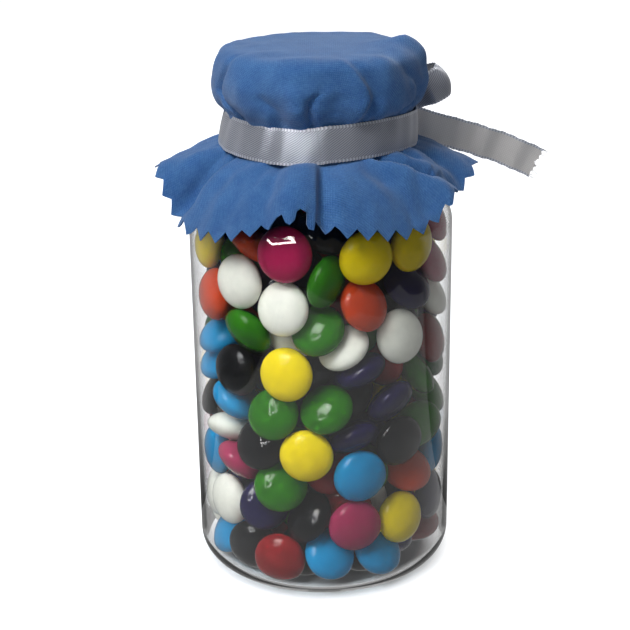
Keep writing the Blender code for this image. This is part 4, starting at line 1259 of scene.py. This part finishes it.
@dataclass
class RibbonTie:
    """A satin ribbon round the neck: one turn, a knot at the back right, two loops and two ends."""

    satin: WovenSatin
    back: WovenSatin
    line: BandLine
    width: float = 9.4
    thickness: float = 0.28
    radius: float = 26.4
    flare: float = 0.6                 # how far the band's lower edge stands out
    flare_left: float = 0.5            # and how much more so on the left
    band_steps: int = 640
    knot_angle: float = 146
    knot_size: tuple[float, float, float] = (4.6, 3.2, 5.0)
    knot_sunk: float = 0.5             # how deep the knot sits in the band
    knot_mesh: tuple[int, int] = (28, 48)
    knot_edge: float = 89              # its first and last rows, in degrees
    knot_box: float = 0.6              # 1 is a ball, less is squarer
    knot_folds: tuple[int, int, float] = (5, 3, 0.25)    # their number, slant and depth
    knot_flat: tuple[float, float] = (0.08, 4)           # its measure on the flat ribbon
    mouth: float = 1.6                 # half the distance between a loop's two ends in the knot
    gap: float = 5.0                   # widest opening of a loop
    lean: float = 1.8                  # how far a loop bows to the far side of its middle line
    # How far a loop is rounded out across the ribbon, and how much more so at its end.
    puff: tuple[float, float] = (0.3, 1.6)
    loop_steps: int = 120
    tail_steps: int = 90
    crown: float = 0.22                # how far the ribbon's middle stands out from its edges
    ripple: float = 0.10               # size of its small waves
    band_ripple: float = 0.04
    ripples: int = 7
    ripple_length: tuple[float, float] = (4, 9)    # the shortest, and how much longer they get
    ripple_skew: float = 0.9
    scallop: float = 0.09              # depth of the small loops along the woven edges
    pitch: float = 0.9
    around: int = 12                   # mesh steps across the ribbon
    ragged: float = 0.35               # unevenness of a cut end
    threads: int = 18                  # loose ones there
    thread: float = 0.07               # their radius
    thread_root: float = 0.6           # how far inside the end they start
    thread_spread: float = 0.35
    thread_bend: float = 0.5
    thread_length: tuple[float, float] = (1.2, 2.0)    # the shortest, and how much longer they get
    # Where on the ribbon the loops and the ends start, and how much each of them takes.
    loop_start: float = 200
    tail_start: float = 400
    share: float = 60
    seed: int = 21
    # Loops: direction out of the knot, direction of the ribbon's width, and length.
    loops: tuple = (((0.90, -0.28, 0.30), (0.50, 0.10, -0.86), 20.5),
                    ((-0.62, 0.60, 0.50), (0.25, 0.20, 0.95), 22.0))
    # Ends: curve points from the knot to the cut end, and the direction of the ribbon's width.
    tails: tuple = ((((23, 27, 119.5), (44, 25, 119.5), (63.2, 25, 109.0)), (0.25, -0.10, 0.95)),
                    (((20, 38, 130), (6, 53, 119), (0, 49, 92)), (0.90, -0.30, 0.00)))

    def strip(self, patch: Patch, path: Array, wide: Array, crown: Array | float, ripple: float,
              closed: bool = False, shift: float = 0.0, ragged: float = 0.0) -> tuple[Array, Array]:
        """Add a ribbon strip along a path.

        Args:
            patch: where it goes.
            path: its middle line.
            wide: the direction of its width, one for all points or for each.
            crown: how far its middle stands out from its edges.
            ripple: the size of its small waves.
            closed: whether it joins up.
            shift: where on the ribbon it starts.
            ragged: how uneven the last row is, for a cut end.

        Returns:
            The last row of points across, and the direction that the ribbon runs in there.
        """
        along = unit(np.roll(path, -1, 0) - np.roll(path, 1, 0) if closed else np.gradient(path, axis=0))
        wide = unit(wide - (along * wide).sum(-1, keepdims=True) * along)
        face = np.cross(along, wide)
        steps = np.linalg.norm(np.diff(path, axis=0), axis=1)
        runs = (np.concatenate(([0.0], np.cumsum(steps))) + shift)[:, None]
        spread = np.linspace(-1, 1, self.around + 1)
        edge = np.abs(spread) > 0.99
        width = self.width / 2 + edge * self.scallop * np.sin(math.tau * runs / self.pitch)
        draw = random.Random(self.seed + int(shift) + len(path))
        shortest, longer = self.ripple_length
        waves = [(draw.gauss(0, ripple), shortest + longer * draw.random(), draw.gauss(0, self.ripple_skew),
                  math.tau * draw.random()) for _ in range(self.ripples)]
        waved = sum(size * np.sin(math.tau * runs / length + skew * spread + phase)
                    for size, length, skew, phase in waves)
        points = (path[:, None] + wide[:, None] * (spread * width)[..., None]
                  + face[:, None] * (crown * (1 - spread ** 2) + waved)[..., None])
        flat = np.stack((np.broadcast_to(runs, width.shape), spread * width), -1)
        if ragged:
            points[-1] += along[-1] * np.array([[draw.gauss(0, ragged)] for _ in spread])
        front, back = (patch.grid(points + face[:, None] * side * self.thickness / 2, flat, (closed, False),
                                  flip=side > 0, slot=slot) for side, slot in ((1, 0), (-1, 1)))
        patch.strip(back[:, 0], front[:, 0], closed)
        patch.strip(front[:, -1], back[:, -1], closed)
        if not closed:
            patch.strip(front[0], back[0], False)
            patch.strip(back[-1], front[-1], False)
        return points[-1], along[-1]

    def band(self, patch: Patch) -> None:
        """Add the turn round the neck, its lower edge standing out over the flaring cloth.

        Args:
            patch: where it goes.
        """
        angles = np.arange(self.band_steps) * 360 / self.band_steps
        turn = np.radians(angles)
        lean = (self.flare - self.flare_left * np.sin(turn)) / (self.width / 2)
        wide = np.stack((-lean * np.sin(turn), lean * np.cos(turn), np.ones(len(turn))), -1)
        path = on_jar(self.radius, angles, self.line.at(angles))
        self.strip(patch, path, wide, self.crown, self.band_ripple, closed=True)

    def loop(self, start: Array, outward: tuple, across: tuple, length: float) -> Array:
        """A loop's path: out from the knot, over and back, in one plane.

        Args:
            start: the middle of the knot.
            outward: the direction that it stands in.
            across: the direction of the ribbon's width.
            length: how far it reaches.

        Returns:
            The path's points.
        """
        outward = unit(np.array(outward, float))
        aside = unit(np.cross(outward, across))
        turn = np.linspace(0, math.pi, self.loop_steps + 1)[:, None]
        away = self.lean * np.sin(turn) - self.mouth * np.cos(turn) - self.gap / 2 * np.sin(2 * turn)
        return start + outward * length * np.sin(turn) + aside * away

    def bezier(self, points: tuple, steps: int) -> Array:
        """Points along a Bezier curve of any order.

        Args:
            points: its control points.
            steps: how many steps it takes.

        Returns:
            The points.
        """
        share = np.linspace(0, 1, steps + 1)[:, None]
        level = [np.array(point, float) for point in points]
        while len(level) > 1:
            level = [a + (b - a) * share for a, b in zip(level, level[1:])]
        return level[0]

    def boxed(self, value: Array) -> Array:
        """A sine or cosine pushed outward, so that a ball turns to a soft box."""
        return np.sign(value) * np.abs(value) ** self.knot_box

    def knot(self, patch: Patch, at: Array) -> None:
        """Add the knot: a soft cushion of ribbon with a few folds round it.

        Args:
            patch: where it goes.
            at: its middle.
        """
        rows, columns = self.knot_mesh
        number, slant, depth = self.knot_folds
        rise = np.radians(np.linspace(-self.knot_edge, self.knot_edge, rows)[:, None])
        turn = np.arange(columns)[None] * 360 / columns
        side, out = np.sin(np.radians(turn)), np.cos(np.radians(turn))
        level, up = np.cos(rise), np.sin(rise)
        wavy = depth * np.sin(np.radians(turn) * number + slant * up)
        wide, deep, tall = self.knot_size
        points = np.stack((self.boxed(level) * self.boxed(side) * (wide + wavy),
                           self.boxed(level) * self.boxed(out) * (deep + wavy),
                           self.boxed(up) * tall * np.ones_like(turn)), -1)
        angle = math.radians(self.knot_angle)
        cos, sin = math.cos(angle), math.sin(angle)
        flat = np.stack(np.broadcast_arrays(turn * self.knot_flat[0], up * self.knot_flat[1]), -1)
        patch.tube(at + points @ np.array(((cos, sin, 0), (sin, -cos, 0), (0, 0, 1))), flat, flip=True)

    def fray(self, patch: Patch, row: Array, along: Array) -> None:
        """Add loose threads at a cut end.

        Args:
            patch: where they go.
            row: the points across the end.
            along: the direction that the ribbon runs in.
        """
        draw = random.Random(self.seed + 5)
        shortest, longer = self.thread_length
        ring = np.arange(5)[:, None] * math.tau / 5
        steps = np.linspace(0, 1, 6)[:, None]
        for _ in range(self.threads):
            share = draw.random() * (len(row) - 1)
            low = int(share)
            start = row[low] + (row[low + 1] - row[low]) * (share - low) - along * self.thread_root
            way = unit(along + self.thread_spread * gauss(draw))
            bend = self.thread_bend * gauss(draw)
            length = shortest + longer * draw.random()
            path = start + way * length * steps + bend * steps ** 2
            side = unit(np.cross(way, (0.2, 0.4, 0.9)))
            circle = self.thread * (np.cos(ring) * side + np.sin(ring) * np.cross(way, side))
            points = path[:, None] + circle
            patch.tube(points, np.zeros(points.shape[:2] + (2,)), slot=1)

    def build(self) -> None:
        """Make the ribbon as one piece."""
        patch = Patch()
        self.band(patch)
        out = self.radius + self.knot_size[1] - self.knot_sunk
        at = on_jar(out, self.knot_angle, self.line.at(self.knot_angle))
        self.knot(patch, at)
        least, more = self.puff
        for number, (outward, across, length) in enumerate(self.loops):
            path = self.loop(at, outward, across, length)
            puff = least + more * np.sin(np.linspace(0, math.pi, len(path)))[:, None] ** 2
            self.strip(patch, path, -np.array(across), puff, self.ripple,
                       shift=self.loop_start + self.share * number)
        for number, (curve, across) in enumerate(self.tails):
            path = self.bezier((at, *curve), self.tail_steps)
            self.fray(patch, *self.strip(patch, path, -np.array(across), self.crown, self.ripple,
                                         shift=self.tail_start + self.share * number, ragged=self.ragged))
        thing = patch.build("satin_ribbon", [self.satin.build(), self.back.build()], 50)
        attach(thing, BODY)
        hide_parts("ribbon")


@dataclass(frozen=True)
class Lamp:
    """A square area lamp that looks at the jar: place as angle, elevation and distance, side and watts."""

    name: str
    angle: float
    elevation: float
    distance: float
    size: float
    power: float
    glossy: bool = True       # whether it shows in reflections
    through: bool = True      # and through clear walls

    def build(self, way: Vector, aim: Vector) -> None:
        """Add the lamp.

        Args:
            way: the direction that it stands in.
            aim: the point that it looks at.
        """
        data = bpy.data.lights.new(self.name, "AREA")
        data.shape, data.size, data.energy = "SQUARE", self.size * MM, self.power
        thing = bpy.data.objects.new(self.name, data)
        thing.location = (aim + way * self.distance) * MM
        thing.rotation_euler = way.to_track_quat("Z", "Y").to_euler()
        thing.visible_glossy = self.glossy
        thing.visible_transmission = self.through
        bpy.context.scene.collection.objects.link(thing)


@dataclass
class Studio:
    """A pale floor, an even sky, a square ring lamp and soft area lamps, and the camera."""

    sky: float = 0.13
    sky_glare: float = 0.06            # its brightness in reflections, in front
    back_glare: float = 0.32           # and that of the sky and the floor behind the jar
    back_sky: tuple[float, float] = (0.1, 0.7)    # where the sky turns from one to the other
    back_floor: float = 90.0           # and how far behind the jar's axis the floor does
    # The square ring lamp's outer corners, each an angle and an elevation.
    ring_corners: tuple[tuple[float, float], ...] = ((-62, 44), (-42, 19), (-22, 33), (-53, 67))
    ring_bar: float = 0.24             # width of its bars, as a share of the way to its middle
    ring_distance: float = 800.0
    ring_aim: float = 60.0             # height that it and the small lamp are placed about
    ring_power: float = 2.4
    ring_glare: float = 26.0           # its brightness in reflections
    spot_direction: tuple[float, float] = (-70.0, 64.0)
    spot_size: float = 46.0
    lamp_aim: float = 75.0             # height that the area lamps look at
    lamps: tuple[Lamp, ...] = (Lamp("key", -46, 54, 900, 420, 9.5, glossy=False),
                               Lamp("fill", 35, 5, 1100, 300, 1.1, glossy=False, through=False),
                               Lamp("back", 165, 35, 1000, 500, 3.0))
    floor_half: float = 4000.0
    floor_glow: float = 0.97           # the floor is lit from below where it is seen directly
    floor_shade: tuple[float, float] = (28.0, 39.0)    # and fades out under the jar between these radii
    floor_glare: float = 0.06          # its brightness in reflections, apart from a card in front
    base_glare: float = 0.42           # and under the base, where the thick heel mirrors it
    base_edge: tuple[float, float] = (36.0, 39.0)      # which ends between these radii
    # The card that the jar's front reflects: corners on the floor, the hole round the base, brightness.
    card: tuple[tuple[float, float], ...] = (
        (-168, -265), (-50, -305), (158, -265), (280, -120), (280, 20), (-168, 20))
    card_hole: float = 37.0
    card_rise: float = 0.02
    card_glare: float = 0.33
    camera_at: tuple[float, float, float] = (0.0, -390.5, 210.4)
    pitch: float = 19.56
    roll: float = -0.694
    lens: float = 83.2
    sensor: float = 36.0
    shift: float = -0.0107
    clip: tuple[float, float] = (0.01, 50.0)       # in metres

    def direction(self, angle: float, elevation: float) -> Vector:
        """The unit direction to an angle from the front and an elevation."""
        rise = math.radians(elevation)
        return Vector(on_jar(math.cos(rise), angle, math.sin(rise)).tolist())

    def light(self, tree: Tree, strength: Socket | float) -> Socket:
        """White light of a strength."""
        return add_node(tree, "Emission", {"Strength": strength})

    def glow(self, name: str, strength: float, glare: float) -> Material:
        """An emissive material with one strength for lighting and one for reflections."""
        material, tree = new_material(name)
        show(tree, self.light(tree, choose(tree, ray(tree, "Is Glossy Ray"), strength, glare)))
        return material

    def plate(self, name: str, outline: list[Vector], faces: list[tuple[int, ...]],
              material: Material) -> Thing:
        """Add a flat mesh that belongs to the studio.

        Args:
            name: its name.
            outline: its corners.
            faces: its faces, by corner number.
            material: its material.

        Returns:
            The object.
        """
        mesh = bpy.data.meshes.new(name)
        mesh.from_pydata([point * MM for point in outline], [], faces)
        mesh.materials.append(material)
        thing = bpy.data.objects.new(name, mesh)
        bpy.context.scene.collection.objects.link(thing)
        return thing

    def seen(self, tree: Tree) -> Socket:
        """One where a ray comes straight from the camera, or only through clear walls.

        Args:
            tree: the node tree.

        Returns:
            The socket.
        """
        bounces = maths(tree, "ADD", ray(tree, "Diffuse Depth"), ray(tree, "Glossy Depth"))
        through = maths(tree, "MULTIPLY", maths(tree, "LESS_THAN", bounces, 0.5),
                        ray(tree, "Is Transmission Ray"))
        return maths(tree, "MAXIMUM", through, ray(tree, "Is Camera Ray"))

    def mirrored(self, tree: Tree) -> Socket:
        """One where a ray comes off something shiny, and off nothing matt."""
        shiny = maths(tree, "GREATER_THAN", ray(tree, "Glossy Depth"), 0.5)
        return maths(tree, "MULTIPLY", shiny, maths(tree, "LESS_THAN", ray(tree, "Diffuse Depth"), 0.5))

    def floor(self) -> None:
        """A wide plain pale floor, lit from below except under the jar, and dim in reflections."""
        material, tree = new_material("painted_board")
        shader = tree.nodes["Principled BSDF"]
        give(shader, {"Base Color": linear("#A4A9B0"), "Roughness": 0.8})
        place = add_node(tree, "TexCoord", output="Object")
        away = add_node(tree, "VectorMath", {0: place}, "Value", operation="LENGTH")
        clear = ramp(tree, away, *(radius * MM for radius in self.floor_shade))
        glow = maths(tree, "MULTIPLY", maths(tree, "MULTIPLY", self.seen(tree), clear), self.floor_glow)
        lit = add_node(tree, "AddShader", {0: shader.outputs["BSDF"], 1: self.light(tree, glow)})
        back = add_node(tree, "SeparateXYZ", {"Vector": place}, "Y")
        behind = ramp(tree, back, 0.0, self.back_floor * MM, self.floor_glare, self.back_glare)
        under = ramp(tree, away, *(radius * MM for radius in self.base_edge), self.base_glare, 0.0,
                     smooth=False)
        dim = self.light(tree, maths(tree, "MAXIMUM", behind, under))
        show(tree, mixed(tree, self.mirrored(tree), lit, dim))
        corners = [Vector((x * self.floor_half, y * self.floor_half, 0)) for x, y in SQUARE]
        self.plate("floor", corners, [(0, 1, 2, 3)], material)

    def front_card(self) -> None:
        """The pale card in front, cut out round the base, which shows only as a veil on the wall."""
        material, tree = new_material("card_glow")
        place = add_node(tree, "TexCoord", output="Object")
        away = add_node(tree, "VectorMath", {0: place}, "Value", operation="LENGTH")
        outside = maths(tree, "GREATER_THAN", away, self.card_hole * MM)
        hole = add_node(tree, "BsdfTransparent")
        show(tree, mixed(tree, outside, hole, self.light(tree, self.card_glare)))
        corners = [Vector((x, y, self.card_rise)) for x, y in self.card]
        thing = self.plate("front_card", corners, [tuple(range(len(corners)))], material)
        thing.visible_camera = False
        thing.visible_diffuse = False
        thing.visible_shadow = False

    def ring_lamp(self) -> None:
        """The ring lamp, high on the left in front."""
        aim = Vector((0, 0, self.ring_aim))
        outer = [aim + self.direction(*corner) * self.ring_distance for corner in self.ring_corners]
        middle = sum(outer, Vector()) / len(outer)
        outline = outer + [corner.lerp(middle, self.ring_bar) for corner in outer]
        faces = [(i, (i + 1) % 4, 4 + (i + 1) % 4, 4 + i) for i in range(4)]
        self.plate("ring_lamp", outline, faces, self.glow("lamp_ring", self.ring_power, self.ring_glare))

    def spot_lamp(self) -> None:
        """A small lamp farther to the left, seen only as a dot on shiny things."""
        way = self.direction(*self.spot_direction)
        turn = way.to_track_quat("Z", "Y")
        half = self.spot_size / 2
        middle = Vector((0, 0, self.ring_aim)) + way * self.ring_distance
        outline = [middle + turn @ Vector((x * half, y * half, 0)) for x, y in SQUARE]
        self.plate("spot_lamp", outline, [(0, 1, 2, 3)], self.glow("lamp_spot", 0.0, self.ring_glare))

    def world(self) -> None:
        """An even sky, white where the camera sees it and dimmer in reflections."""
        world = bpy.data.worlds.new("sky")
        bpy.context.scene.world = world
        world.use_nodes = True
        tree = world.node_tree
        place = add_node(tree, "TexCoord", output="Generated")
        back = add_node(tree, "SeparateXYZ", {"Vector": place}, "Y")
        behind = ramp(tree, back, *self.back_sky, self.sky_glare, self.back_glare)
        sky = choose(tree, ray(tree, "Is Glossy Ray"), self.sky, behind)
        give(tree.nodes["Background"], {"Color": (1, 1, 1, 1),
                                        "Strength": choose(tree, self.seen(tree), sky, 1.0)})

    def camera(self) -> None:
        """The camera, a little above the lid and looking down."""
        data = bpy.data.cameras.new("camera")
        data.lens, data.sensor_width, data.shift_x = self.lens, self.sensor, self.shift
        data.clip_start, data.clip_end = self.clip
        thing = bpy.data.objects.new("camera", data)
        down = Euler((math.radians(90 - self.pitch), 0, 0)).to_quaternion()
        thing.rotation_euler = (down @ Euler((0, 0, math.radians(self.roll))).to_quaternion()).to_euler()
        thing.location = Vector(self.camera_at) * MM
        bpy.context.scene.collection.objects.link(thing)
        bpy.context.scene.camera = thing

    def build(self) -> None:
        """Set up everything round the jar."""
        self.floor()
        self.front_card()
        self.world()
        self.ring_lamp()
        self.spot_lamp()
        for lamp in self.lamps:
            lamp.build(self.direction(lamp.angle, lamp.elevation), Vector((0, 0, self.lamp_aim)))
        self.camera()
        bpy.context.scene.view_settings.view_transform = "Standard"


def main() -> None:
    """Build and dress every piece, then set up the studio."""
    logging.basicConfig(level=logging.INFO, format="%(message)s")
    room = Jar(36.5, 145.6, MouldedPet("stretch_blown_pet", "#FFFFFF", 0.02, 1.575))
    # The buttons are packed in the part's own room; the shown wall is thinner, as a real one is.
    replace(room, wall=0.65, floor=1.15, heel_inside=6.6).build()
    Lid(MouldedPolypropylene("moulded_polypropylene", "#D9DBDE", 0.4, 1.49)).dress()
    ButtonHeap(room).build()
    line = BandLine()
    ClothCover(PlainWeaveCotton("plain_weave_cotton", "#28558E", 0.85), line).build()
    RibbonTie(WovenSatin("woven_satin", "#7D808C", 0.30),
              WovenSatin("satin_back", "#C6C3C2", 0.6, face=Face.BACK, pale="#DAD8D6"), line).build()
    Studio().build()


if __name__ == "__main__":
    main()
